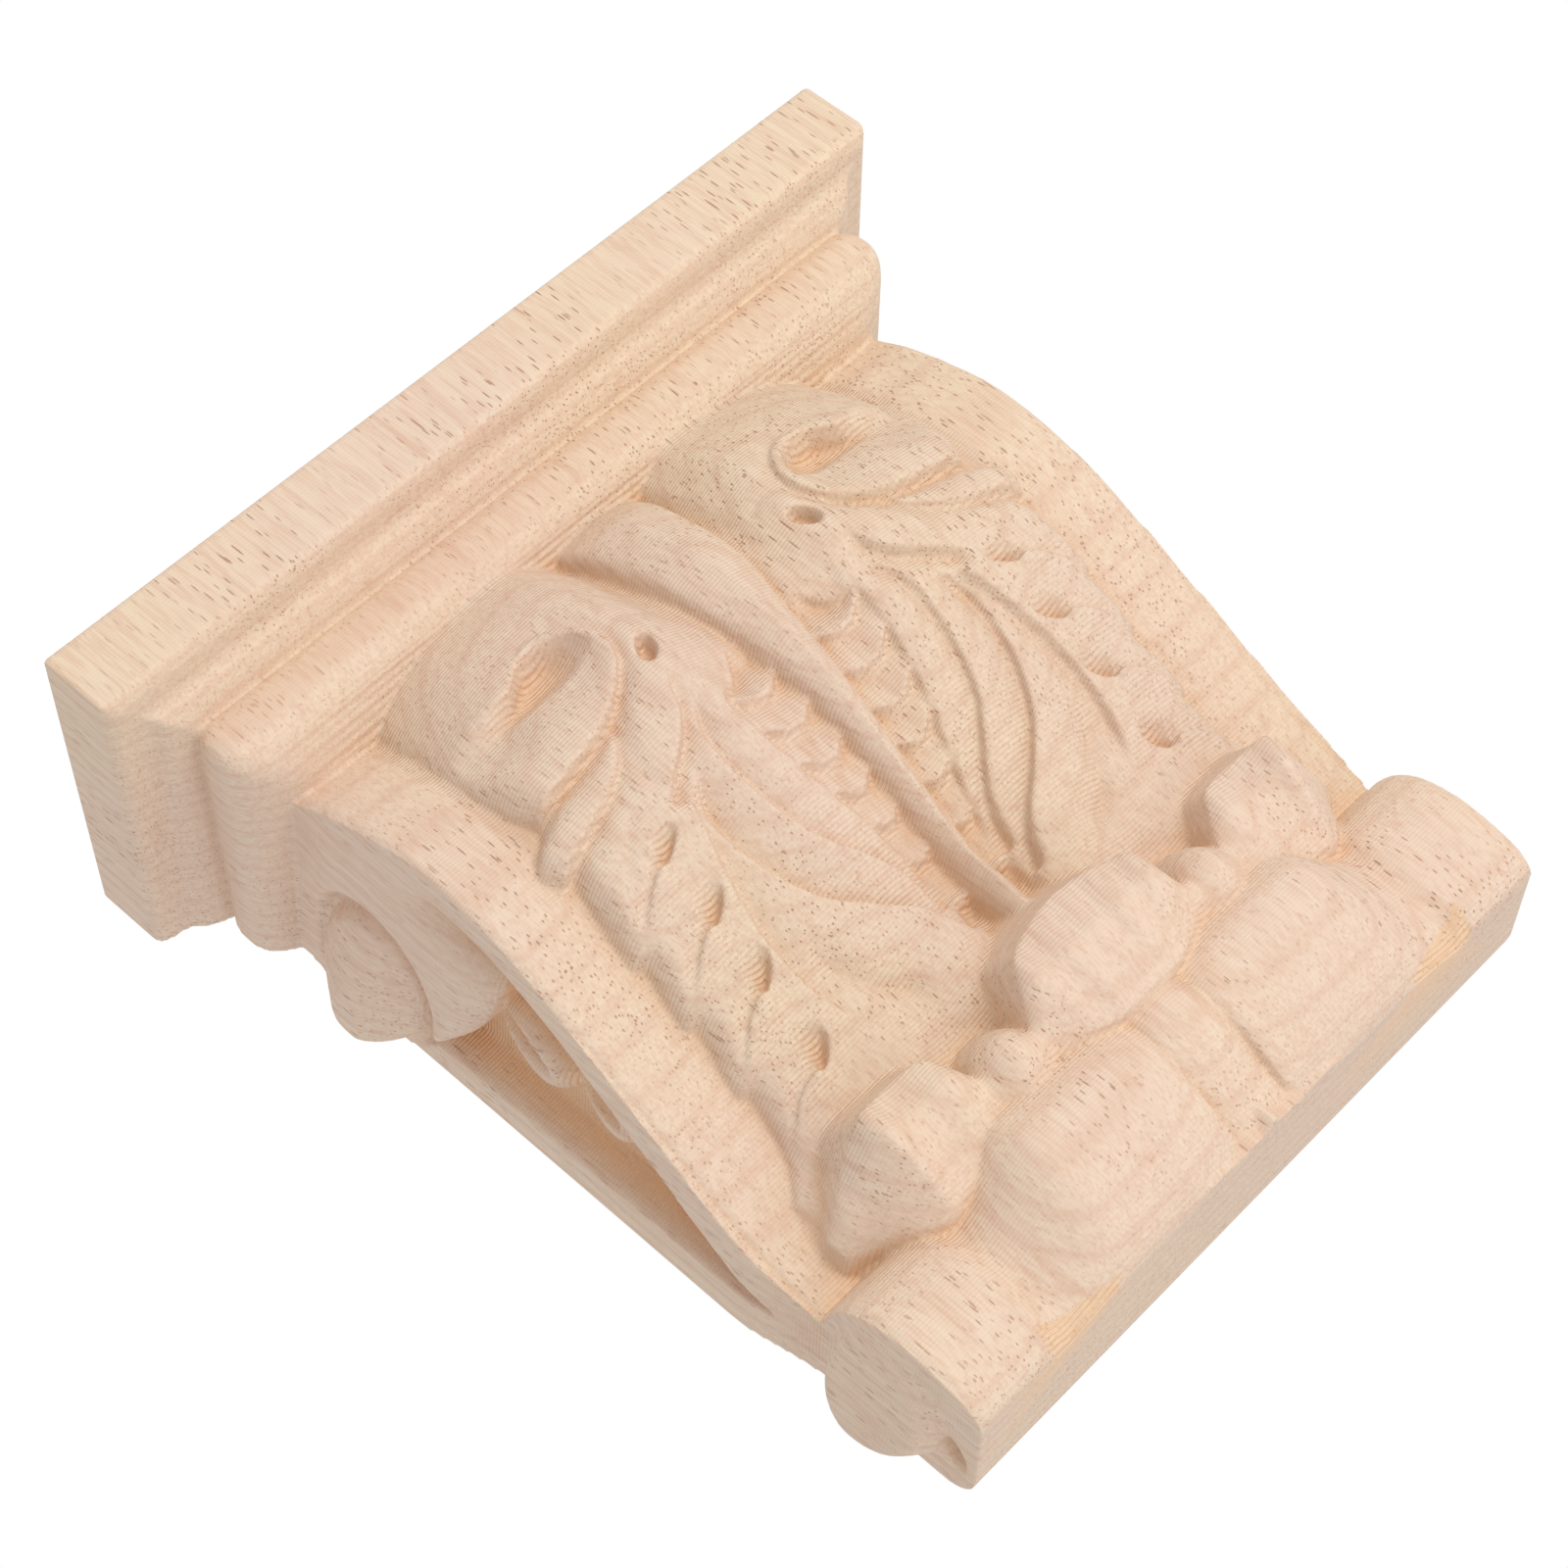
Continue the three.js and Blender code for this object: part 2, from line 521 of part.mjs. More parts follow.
function mouldingOutline(shape, setbackToX) {
  const point = (setback, down) => [setbackToX(setback), TOP - down];
  shape.lineTo(...point(SLAB_SOFT_EDGE * 0.5, 0));
  shape.lineTo(...point(0, SLAB_SOFT_EDGE * 0.5));
  shape.lineTo(...point(0, SLAB_HEIGHT - 0.3));
  shape.quadraticCurveTo(
    ...point(0, SLAB_HEIGHT + SLAB_SOFT_EDGE),
    ...point(SLAB_SOFT_EDGE * 1.5, SLAB_HEIGHT + SLAB_SOFT_EDGE)
  );
  shape.lineTo(...point(FILLET_SETBACK, SLAB_HEIGHT + FILLET_DROP));
  shape.quadraticCurveTo(
    ...point(FILLET_SETBACK + 0.8, SLAB_HEIGHT + COVE_DROP - 1),
    ...point(COVE_SETBACK, SLAB_HEIGHT + COVE_DROP)
  );
  shape.quadraticCurveTo(
    ...point(ROUND_SETBACK, SLAB_HEIGHT + COVE_DROP + 1),
    ...point(ROUND_SETBACK, SLAB_HEIGHT + ROUND_DROP)
  );
  shape.quadraticCurveTo(
    ...point(ROUND_SETBACK, SLAB_HEIGHT + ROUND_DROP + 3),
    ...point(ROUND_END_SETBACK, SLAB_HEIGHT + ROUND_END_DROP)
  );
  shape.quadraticCurveTo(
    ...point(ROUND_END_SETBACK + 2.6, SLAB_HEIGHT + UNDERSIDE_DROP - 1.4),
    ...point(UNDERSIDE_SETBACK, SLAB_HEIGHT + UNDERSIDE_DROP)
  );
}

function profileAlongFront() {
  const shape = new THREE.Shape();
  shape.moveTo(0, TOP);
  mouldingOutline(shape, (setback) => CAP_DEPTH - setback);
  shape.lineTo(0, TOP - SLAB_HEIGHT - UNDERSIDE_DROP);
  shape.closePath();
  return acrossCorbel(shape, -CAP_WIDTH / 2, CAP_WIDTH / 2, 6);
}

function profileAlongEnds() {
  const half = CAP_WIDTH / 2;
  const shape = new THREE.Shape();
  shape.moveTo(0, TOP);
  mouldingOutline(shape, (setback) => half - setback);
  const right = shape.getPoints(6);
  const left = right.slice(1).reverse().map((p) => new THREE.Vector2(-p.x, p.y));
  const whole = new THREE.Shape([...right, ...left]);
  const geometry = new THREE.ExtrudeGeometry(whole, { depth: CAP_DEPTH, bevelEnabled: false });
  // Shape x stays X, shape y becomes +Z, and the extrusion runs from the back to the front
  const turn = new THREE.Matrix4().makeBasis(
    new THREE.Vector3(1, 0, 0),
    new THREE.Vector3(0, 0, 1),
    new THREE.Vector3(0, -1, 0)
  );
  geometry.applyMatrix4(turn);
  return solid(geometry);
}

// What is taken off the lower back corner, so that it is rounded
function backCorner() {
  const shape = new THREE.Shape();
  shape.moveTo(-2, -TOP - 2);
  shape.lineTo(-2, -TOP + FOOT_CORNER);
  shape.lineTo(0, -TOP + FOOT_CORNER);
  shape.absarc(FOOT_CORNER, -TOP + FOOT_CORNER, FOOT_CORNER, Math.PI, Math.PI * 1.5, false);
  shape.lineTo(FOOT_CORNER, -TOP - 2);
  shape.closePath();
  return acrossCorbel(shape, -BACK_WIDTH, BACK_WIDTH, 8);
}

// The space that the corbel's blank takes up: nothing reaches past its back or under its foot
function blank() {
  const geometry = new THREE.BoxGeometry(CAP_WIDTH, CAP_DEPTH * 2, TOTAL_HEIGHT);
  geometry.translate(0, -CAP_DEPTH, 0);
  return solid(geometry);
}

function corbelGeometry() {
  const cap = profileAlongFront().intersect(profileAlongEnds());
  let body = carvedBody();
  for (const side of [-1, 1]) {
    body = volute(side, body.subtract(pocket(side))).add(husk(side)).add(endEye(side));
  }
  return geometryOf(cap.add(body).subtract(backCorner()).intersect(blank()));
}

const wood = new THREE.MeshStandardMaterial({ color: 0xe3c6a8, roughness: 0.72, metalness: 0 });

const corbel = new THREE.Mesh(corbelGeometry(), wood);
corbel.name = 'corbel';

const group = new THREE.Group();
group.add(corbel);

export default group;
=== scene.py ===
import math

import bpy
import numpy as np
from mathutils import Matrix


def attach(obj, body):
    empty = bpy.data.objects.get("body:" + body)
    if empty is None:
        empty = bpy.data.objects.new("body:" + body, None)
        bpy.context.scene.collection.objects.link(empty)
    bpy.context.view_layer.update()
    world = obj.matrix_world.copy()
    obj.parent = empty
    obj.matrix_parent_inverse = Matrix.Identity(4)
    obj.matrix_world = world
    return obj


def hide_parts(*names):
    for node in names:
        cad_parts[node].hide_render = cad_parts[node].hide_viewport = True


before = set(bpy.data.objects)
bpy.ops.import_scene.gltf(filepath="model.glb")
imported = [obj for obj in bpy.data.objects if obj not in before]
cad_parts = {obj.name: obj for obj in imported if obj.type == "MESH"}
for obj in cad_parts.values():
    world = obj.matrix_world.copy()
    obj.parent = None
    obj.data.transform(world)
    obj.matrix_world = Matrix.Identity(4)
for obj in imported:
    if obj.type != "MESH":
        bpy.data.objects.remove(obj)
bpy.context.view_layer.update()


# The cap: the moulded top end of the rubberwood block. It has a square slab, a small fillet,
# a cove and a fat round, run along the front with a shaped cutter and returned along both
# ends. Its back is cut off flat, where it meets the wall.

MM = 0.001
HEIGHT = 134.7
SLAB_HALF_WIDTH = 65.0
SLAB_DEPTH = 49.8
SLAB_HEIGHT = 9.6
SLAB_EDGE = 0.7
FILLET_SETBACK = 5.3
FILLET_DOWN = 12.3
COVE_SETBACK = 9.7
COVE_DOWN = 14.6
ROUND_SETBACK = 8.1
ROUND_DOWN = 18.6
NECK_SETBACK = 19.0
NECK_DOWN = 26.4
ROUND_CORNER = 2.6
SLAB_CORNER = 0.5


def smooth(start, end, value):
    share = np.clip((value - start) / (end - start), 0.0, 1.0)
    return share * share * (3.0 - 2.0 * share)


def bend(start, pull, end, steps):
    share = np.linspace(0.0, 1.0, steps, endpoint=False)[:, None]
    start, pull, end = np.array(start), np.array(pull), np.array(end)
    return (1 - share) ** 2 * start + 2 * share * (1 - share) * pull + share ** 2 * end


def deselect():
    if bpy.context.object and bpy.context.object.mode != 'OBJECT':
        bpy.ops.object.mode_set(mode='OBJECT')
    bpy.ops.object.select_all(action='DESELECT')


def rolled_sheet(name, rings):
    """A grid laid round in a closed tube, one row of it for each ring, with both ends filled."""
    rows, columns = rings.shape[:2]
    deselect()
    bpy.ops.mesh.primitive_grid_add(x_subdivisions=columns, y_subdivisions=rows - 1, size=1)
    sheet = bpy.context.object
    sheet.name = name
    closed = np.concatenate([rings, rings[:, :1]], axis=1)
    sheet.data.vertices.foreach_set("co", (closed.reshape(-1, 3) * MM).ravel())
    sheet.data.update()
    bpy.ops.object.mode_set(mode='EDIT')
    bpy.ops.mesh.select_all(action='SELECT')
    bpy.ops.mesh.remove_doubles(threshold=1e-6)
    bpy.ops.mesh.select_all(action='DESELECT')
    bpy.ops.mesh.select_non_manifold()
    bpy.ops.mesh.fill_holes(sides=0)
    bpy.ops.mesh.select_all(action='SELECT')
    bpy.ops.mesh.quads_convert_to_tris()
    bpy.ops.mesh.normals_make_consistent(inside=False)
    bpy.ops.object.mode_set(mode='OBJECT')
    return sheet


def cap_ring(setback, down, corner):
    """One level of the cap: back corners square, front corners rounded."""
    half = SLAB_HALF_WIDTH - setback
    deep = SLAB_DEPTH - setback
    turn = np.linspace(0.0, math.pi / 2, 9)
    straight, forward = half - corner, corner - deep
    left = np.stack([-straight - corner * np.cos(turn), forward - corner * np.sin(turn)], 1)
    right = np.stack([straight + corner * np.sin(turn), forward - corner * np.cos(turn)], 1)
    outline = np.concatenate([[[-half, 0.0]], left, right, [[half, 0.0]]])
    level = np.full((len(outline), 1), HEIGHT / 2 - down)
    return np.concatenate([outline, level], 1)


cap_profile = np.concatenate([
    [[SLAB_EDGE * 0.6, 0.0]],
    bend((SLAB_EDGE * 0.5, 0.0), (0.0, 0.0), (0.0, SLAB_EDGE), 5),
    [[0.0, SLAB_HEIGHT - 0.3]],
    bend((0.0, SLAB_HEIGHT), (0.3, 11.2), (2.4, 11.3), 9),
    bend((2.4, 11.3), (4.6, 11.5), (FILLET_SETBACK, FILLET_DOWN), 6),
    bend((FILLET_SETBACK, FILLET_DOWN), (6.0, 13.6), (COVE_SETBACK, COVE_DOWN), 9),
    bend((COVE_SETBACK, COVE_DOWN), (ROUND_SETBACK, 15.2), (ROUND_SETBACK, ROUND_DOWN), 9),
    bend((ROUND_SETBACK, ROUND_DOWN), (8.0, 21.4), (10.4, 23.1), 9),
    bend((10.4, 23.1), (13.0, 24.9), (NECK_SETBACK, NECK_DOWN), 6),
    [[NECK_SETBACK, NECK_DOWN]],
])
past_cove = smooth(COVE_DOWN - 0.3, COVE_DOWN + 0.6, cap_profile[:, 1])
cap_corner = SLAB_CORNER + (ROUND_CORNER - SLAB_CORNER) * past_cove
cap_rings = [cap_ring(*level, corner) for level, corner in zip(cap_profile, cap_corner)]
cap = rolled_sheet("cap", np.array(cap_rings))


# The front of the body: a plain S-shaped face that is hollowed and crowned in one sweep, with
# an acanthus leaf left standing on it. The leaf's folds, slits and scoops are cut by a small
# ball cutter, so every hollow has a round floor and one crisp edge.

BODY_TOP = 22.0
WAIST_DOWN = 112.0
FRONT_HALF = 50.8
STEP = 0.32

FALL = [(24, 31.0), (33, 35.5), (47, 39.2), (62, 36.5), (82, 26.1), (98, 17.1), (112, 12.3)]


def along(knots, position):
    """A smooth curve through knots, read at each position."""
    at = np.array([k[0] for k in knots], float)
    value = np.array([k[1] for k in knots], float)
    slope = np.empty_like(value)
    slope[1:-1] = (value[2:] - value[:-2]) / (at[2:] - at[:-2])
    slope[0] = (value[1] - value[0]) / (at[1] - at[0])
    slope[-1] = (value[-1] - value[-2]) / (at[-1] - at[-2])
    i = np.clip(np.searchsorted(at, position, side='right') - 1, 0, len(at) - 2)
    span = at[i + 1] - at[i]
    t = np.clip((position - at[i]) / span, 0.0, 1.0)
    rise = t * t * (3 - 2 * t)
    sway = slope[i] * span * t * (1 - t) ** 2 - slope[i + 1] * span * t * t * (1 - t)
    return value[i] + (value[i + 1] - value[i]) * rise + sway


def line_through(points, per=7):
    """A short chain of points as a smooth line."""
    share = np.arange(len(points), dtype=float)
    fine = np.linspace(0, len(points) - 1, (len(points) - 1) * per + 1)
    across = along(list(zip(share, [p[0] for p in points])), fine)
    down = along(list(zip(share, [p[1] for p in points])), fine)
    return np.stack([across, down], 1)


def near(points, across, down):
    """How far each spot is from a line, which side it is on, and the share of the line passed.
    The side is positive on the left hand of someone who walks the line down the page."""
    line = line_through(points)
    gap = np.full(across.shape, 1e9)
    side = np.zeros(across.shape)
    share = np.zeros(across.shape)
    for i in range(len(line) - 1):
        (ax, ay), (bx, by) = line[i], line[i + 1]
        length2 = (bx - ax) ** 2 + (by - ay) ** 2 + 1e-12
        t = np.clip(((across - ax) * (bx - ax) + (down - ay) * (by - ay)) / length2, 0, 1)
        away = np.hypot(across - ax - t * (bx - ax), down - ay - t * (by - ay))
        closer = away < gap
        cross = ((across - ax) * (by - ay) - (down - ay) * (bx - ax)) / math.sqrt(length2)
        gap = np.where(closer, away, gap)
        side = np.where(closer, cross, side)
        share = np.where(closer, (i + t) / (len(line) - 1), share)
    return gap, side, share


def lap(points, across, down, drop, reach, ends=(0.1, 0.1), lift=0.3, crisp=0.22):
    """One fold over another: it falls by drop at the line, and the lower fold climbs back out."""
    gap, side, share = near(points, across, down)
    drop = drop[0] + (drop[1] - drop[0]) * share if isinstance(drop, tuple) else drop
    fade = smooth(0.0, ends[0], share) * (1 - smooth(1 - ends[1], 1.0, share))
    over = smooth(-crisp, crisp, np.where(gap < 3 * abs(side) + 0.2, side, 0.0))
    under = (1 - over) * -np.exp(-(gap / reach) ** 1.4)
    lifted = over * lift * np.exp(-(gap / (1.3 * reach)) ** 1.4)
    return fade * drop * (under + lifted)


def crease(points, across, down, deep, wide, ends=(0.15, 0.15)):
    gap, side, share = near(points, across, down)
    fade = smooth(0.0, ends[0], share) * (1 - smooth(1 - ends[1], 1.0, share))
    return -deep * fade * np.exp(-(gap / wide) ** 1.5)


RIB_HALF = [(24, 6.8), (36, 5.8), (46, 4.9), (52, 3.9), (58, 3.2), (65, 2.4), (75, 1.9), (92, 1.7)]
RIB_CROWN = 1.3
RIB_PROUD = 0.9
RIB_CHANNEL = 0.9
UPPER = [(0, 6.6), (5.4, 5.6), (7.4, 4.6), (9.6, 6.3), (14, 8.7), (20, 8.6), (28, 7.3), (34, 5.8),
         (38, 4.2), (41, 3.2)]
MIDDLE = [(0, 6.0), (3.2, 4.6), (5, 4.4), (9, 5.8), (13.5, 7.6), (18, 7.2), (24, 6.6), (30, 5.9),
          (35, 4.9), (41, 3.0)]
LOWER = [(0, 4.6), (1.9, 3.2), (3.6, 3.2), (7, 5.4), (12, 7.3), (18, 7.1), (24, 6.6), (30, 5.6),
         (35, 4.4), (41, 2.8)]

FINGER_ONE = [(25.6, 36.4), (21.4, 35.4), (17.6, 38.0), (15.9, 42.2), (17.3, 46.2), (20.4, 49.0),
              (24.8, 51.2), (29.9, 52.2), (35.1, 52.8), (39.6, 53.2)]
FINGER_TWO = [(23.2, 50.2), (24.8, 53.4), (28.6, 56.9), (34.2, 58.6), (40.2, 60.0)]
TEARDROP = [(15.2, 51.4), (16.4, 55.3), (18.6, 58.0), (22, 60.5), (26.8, 63.6)]
TEARDROP_FOLD = [(16.6, 46.4), (20.7, 50), (24.2, 55), (25.3, 59.5), (25.0, 63.0)]
FOLD_A = [(11.6, 56), (11.0, 62.5), (9.6, 69.5), (7.9, 74.7), (6.4, 79.5), (5.0, 86)]
FOLD_B = [(13.8, 54.4), (16.7, 60.5), (16.5, 67.5), (14.2, 75), (10.5, 79.8), (7.4, 84), (6.2, 89.5)]
FOLD_C = [(19.6, 60.6), (22.7, 66.4), (21.7, 74), (18.4, 80.6), (13, 85.6), (8.8, 89), (6.0, 94)]
FOLD_D = [(22.8, 63.0), (25.0, 69), (26.8, 75.8), (27.3, 81.3), (26.6, 87), (24.6, 93)]
FOLD_E = [(24.3, 82), (22.6, 87), (19.4, 91.5), (14.5, 96)]
ABOVE_SLITS = [(28.4, 60.6), (32, 62.4), (34.4, 64.8), (35.4, 67.4)]
PITS = [(29.6, 65.8, 26, 0.9), (29.9, 73.5, 32, 1.15), (30.4, 81.6, 40, 1.25), (31.0, 91.0, 44, 1.55)]
PIT_LONG = 2.7
PIT_DEEP = 1.9
CRACK_END = [(38.8, 71.6), (39.0, 79.6), (39.6, 88.2), (40.4, 96.4)]
EYELET = (13.7, 47.4)
EYELET_HALF = (1.45, 2.1)
EYELET_SLANT = 0.35
EYELET_DEEP = 3.0
NICK = [(9.6, 42.6), (11.2, 41.5), (13, 41.3), (14.4, 42)]
RISE_TO_TIP = 4.14
RISE_TO_SIDE_TIP = 2.2
FIRST_SCOOP = [(5.6, 52.2), (8.2, 56.4), (11.4, 57.2)]
SCALLOP_TOP = 56.6
SCALLOP_FEET = (60.7, 65.8, 70.7, 74.8, 79.0, 83.8, 90.2)
SCALLOP_BOW = 2.4
SCALLOP_LIP = 2.1
SCALLOP_SUNK = 0.7
SCALLOP_OUT = [(56, 11.4), (66, 10.8), (72, 9.2), (80, 6.8), (86, 5.4), (96, 5)]

TOP_EDGE = [(24, 38.0), (40, 38.6), (44, 38.8), (50, 38.2), (53.4, 37.2), (57, 41.0), (60, 40.2)]
LOBED_EDGE = [(60, 38.6), (71.0, 40.1), (72.2, 39.1), (79.0, 39.9), (80.2, 38.8), (87.6, 40.1),
              (88.9, 39.0), (96, 40.6), (100, 43.5)]
LOBES_FROM = 60


def leaf_edge(down):
    """Where the leaf ends towards the plain margin: the rolled top, two fingers, five lobes."""
    return np.where(down < LOBES_FROM, along(TOP_EDGE, down), along(LOBED_EDGE, down))


HOLLOW_ROOF = [(17.2, 41.6), (18.6, 38.9), (21.6, 37.0), (24.8, 37.0), (27.2, 38.4), (29, 39.0),
               (33, 38.2), (39, 38.0)]
HOLLOW_SILL = [(17.2, 42.4), (21, 43.6), (25.7, 43.3), (30.4, 43.0), (35.3, 42.7), (39, 41.8)]
HOLLOW_DEEP = [(17, 0), (18.6, 2.2), (21, 4.4), (24, 5.2), (27, 4.8), (29, 4.0), (33, 3.8),
               (37, 3.1), (39.5, 1.2)]


def curl_hollow(across, down):
    """The comma-shaped hollow in the crook of the rolled top: a steep ridged wall under the top,
    a floor that climbs to a soft sill, and below the sill the face of the first finger."""
    roof, sill = along(HOLLOW_ROOF, across), along(HOLLOW_SILL, across)
    share = (down - roof) / (sill - roof)
    in_tail = smooth(27, 33, across)
    wall = smooth(-0.08, 0.28 + 0.55 * in_tail, share)
    climb = 1 - (0.55 - 0.4 * in_tail) * smooth(0.5, 1.0, share)
    leave = np.exp(-(np.clip(down - sill, 0, None) / 4.2) ** 1.6)
    here = smooth(16.6, 18.2, across) * (1 - smooth(38.5, 40, across))
    return -along(HOLLOW_DEEP, across) * wall * climb * leave * here


def leaf_height(across, down):
    to_middle = smooth(38, 58, down)[..., None]
    to_lower = smooth(62, 84, down)[..., None]
    levels = np.stack([along(k, across) for k in (UPPER, MIDDLE, LOWER)], -1)
    shares = np.concatenate([1 - to_middle, to_middle * (1 - to_lower), to_middle * to_lower], -1)
    height = (levels * shares).sum(-1)

    # The middle rib is a long round bead, with a narrow channel on each side
    rib = along(RIB_HALF, down)
    bead = RIB_CROWN * np.sqrt(np.clip(1 - (across / rib) ** 2, 0, 1)) + RIB_PROUD
    height += np.where(across < rib, bead, 0.0) * smooth(22, 30, down)
    height -= RIB_CHANNEL * np.exp(-((across - rib - 0.6) / 0.8) ** 2)

    # Scoops one under the other beside the rib, each with a curved lip
    out = along(SCALLOP_OUT, down)
    centred = (2 * across - rib - out) / (out - rib)
    row = smooth(0.0, 0.7, across - rib) * (1 - smooth(-1.2, 0.4, across - out))
    height -= SCALLOP_SUNK * row * smooth(50, 58, down)
    above = SCALLOP_TOP
    for foot in SCALLOP_FEET:
        curve = SCALLOP_BOW * centred ** 2 * (1 - 0.5 * smooth(72, 84, foot))
        share = np.clip((down - above + curve) / (foot - above), 0, 1)
        lip = SCALLOP_LIP * share ** 1.4 * (1 - smooth(0.86, 1.0, share))
        height += np.where((share > 0) & (share < 1), lip * row, 0.0)
        above = foot
    height += lap(FIRST_SCOOP, across, down, 1.7, 1.8, ends=(0.3, 0.2), lift=0.0)
    height -= 1.2 * row * smooth(86, 92, down)

    # The folds, each lying over the next
    height += lap(FINGER_ONE, across, down, (0.3, 3.4), 2.0, ends=(0.08, 0.01), lift=0.08, crisp=0.22)
    height += crease(FINGER_ONE, across, down, 0.3, 0.35, ends=(0.05, 0.05))
    height += lap(FINGER_TWO, across, down, (0.4, 2.4), 1.8, ends=(0.12, 0.01), lift=0.1, crisp=0.22)
    height += crease(FINGER_TWO, across, down, 0.3, 0.35, ends=(0.1, 0.05))
    height += lap(TEARDROP, across, down, 1.9, 2.6, ends=(0.25, 0.12), lift=0.25, crisp=0.3)
    height += crease(TEARDROP_FOLD, across, down, 0.4, 0.8)
    height += lap(FOLD_A, across, down, 0.8, 1.8, crisp=0.3)
    height += lap(FOLD_B, across, down, (1.2, 2.0), 3.8, ends=(0.12, 0.03), lift=0.2, crisp=0.35)
    height += lap(FOLD_C, across, down, (1.3, 2.4), 4.4, ends=(0.12, 0.03), lift=0.2, crisp=0.35)
    height += lap(FOLD_D, across, down, (1.5, 1.8), 4.0, ends=(0.08, 0.2), crisp=0.5)
    for fold in (FOLD_A, FOLD_B, FOLD_C):
        height += crease(fold, across, down, 0.45, 0.5, ends=(0.1, 0.05))
    height += crease(FOLD_E, across, down, 1.5, 1.5, ends=(0.3, 0.2))
    height += crease(ABOVE_SLITS, across, down, 0.35, 0.6)
    outer = smooth(30, 33, across) * (1 - smooth(38, 41, across))
    for (a, d, lean, wide), end in zip(PITS, CRACK_END):
        lean = math.radians(lean)
        u = (across - a) * math.cos(lean) + (down - d) * math.sin(lean)
        v = (down - d) * math.cos(lean) - (across - a) * math.sin(lean)
        start = (a + 1.8 * math.cos(lean), d + 1.8 * math.sin(lean) + 0.3)
        middle = (a * 0.45 + end[0] * 0.55, d * 0.5 + end[1] * 0.5 - 0.2)
        crack = [end, middle, start]
        height += lap(crack, across, down, (0.7, 1.2), 2.0, ends=(0.35, 0.02), lift=0.4, crisp=0.3)
        height += crease(crack, across, down, 0.25, 0.45, ends=(0.5, 0.02))
        long = 1 - np.clip(np.abs(u) / PIT_LONG, 0, 1) ** 2.4
        tall = wide * np.sqrt(np.clip(1.04 - (u / PIT_LONG) ** 2, 0.04, 1))
        floor = smooth(-1.9 * tall, 0.7 * tall, v) * (1 - smooth(0.7 * tall, 1.1 * tall + 0.1, v))
        height -= (PIT_DEEP + 0.6 * wide) * long * floor
        height += 1.0 * outer * np.exp(-((down - end[1] + 4.0) / 2.6) ** 2)

    height += curl_hollow(across, down)

    # The foot of the leaf climbs towards the tips. The eyelet and its nick are cut last.
    height += RISE_TO_TIP * smooth(84, 100, down) * np.exp(-(across / 13) ** 4)
    height += RISE_TO_SIDE_TIP * smooth(92, 102, down) * np.exp(-((across - 30) / 9) ** 4)
    slant = across - EYELET[0] - EYELET_SLANT * (down - EYELET[1])
    drop = np.hypot(slant / EYELET_HALF[0], (down - EYELET[1]) / EYELET_HALF[1])
    height -= EYELET_DEEP * (1 - smooth(0.45, 1.15, drop))
    height += crease(NICK, across, down, 0.35, 0.5)
    return height


# The tips of the leaf: its foot turns outwards in one wavy lip, a broad fold in the middle, a
# knob beside it and a fluted fold at each side. They are cut from the solid and run down onto
# the roll.

CREST_DOWN = [(0, 99.6), (5, 100.4), (8, 101.4), (10.6, 102.8), (12.2, 105.6), (13.8, 108.4),
              (17, 109.0), (21.0, 109.0), (23.4, 104.8), (25.6, 102.1), (31, 101.6),
              (36.6, 102.4), (40, 103.6), (44, 105.4), (47, 107)]
CREST_DEPTH = [(0, 33.6), (5, 33.7), (8, 33.9), (10.6, 33.9), (12.2, 32.2), (13.8, 29.6),
               (17, 28.4), (21.0, 27.8), (23.4, 28.8), (25.6, 29.6), (31, 29.8), (36.6, 30.5),
               (38.6, 28.2), (41, 23.8), (44, 18.2), (47, 13.5)]
FOOT_DOWN = [(0, 115.4), (5, 115.2), (9, 113.9), (12.6, 112.7), (16, 112.6), (19, 112.4), (21.6, 112.3),
             (26, 113.9), (31, 115.4), (35, 116.0), (39, 113.6), (42, 110.8), (47, 108)]
FOOT_DEPTH = [(0, 30.6), (5, 30.2), (12.6, 28.4), (17, 27.6), (21.6, 27.0), (26, 26.2), (31, 24.4),
              (35, 22.9), (39, 21.0), (42, 18.2), (47, 13.0)]
FLUTES = [(0, 0.3), (2.4, -0.1), (5.0, 0.6), (8.0, -0.3), (10.4, 0.5), (12.4, -0.3), (14.2, 0),
          (22.6, -0.2), (25.6, 0.8), (29.6, -0.5), (33.4, 0.0), (35.8, 1.4), (37.8, -0.2),
          (40.5, -0.7), (43, 0.2), (47, 0)]
KNOB_AT = (17.4, 109.4)
KNOB_HALF = (4.9, 5.4)
KNOB_FOOT = 23.2
KNOB_PROUD = 8.2
KNOB_REACH = 1.8


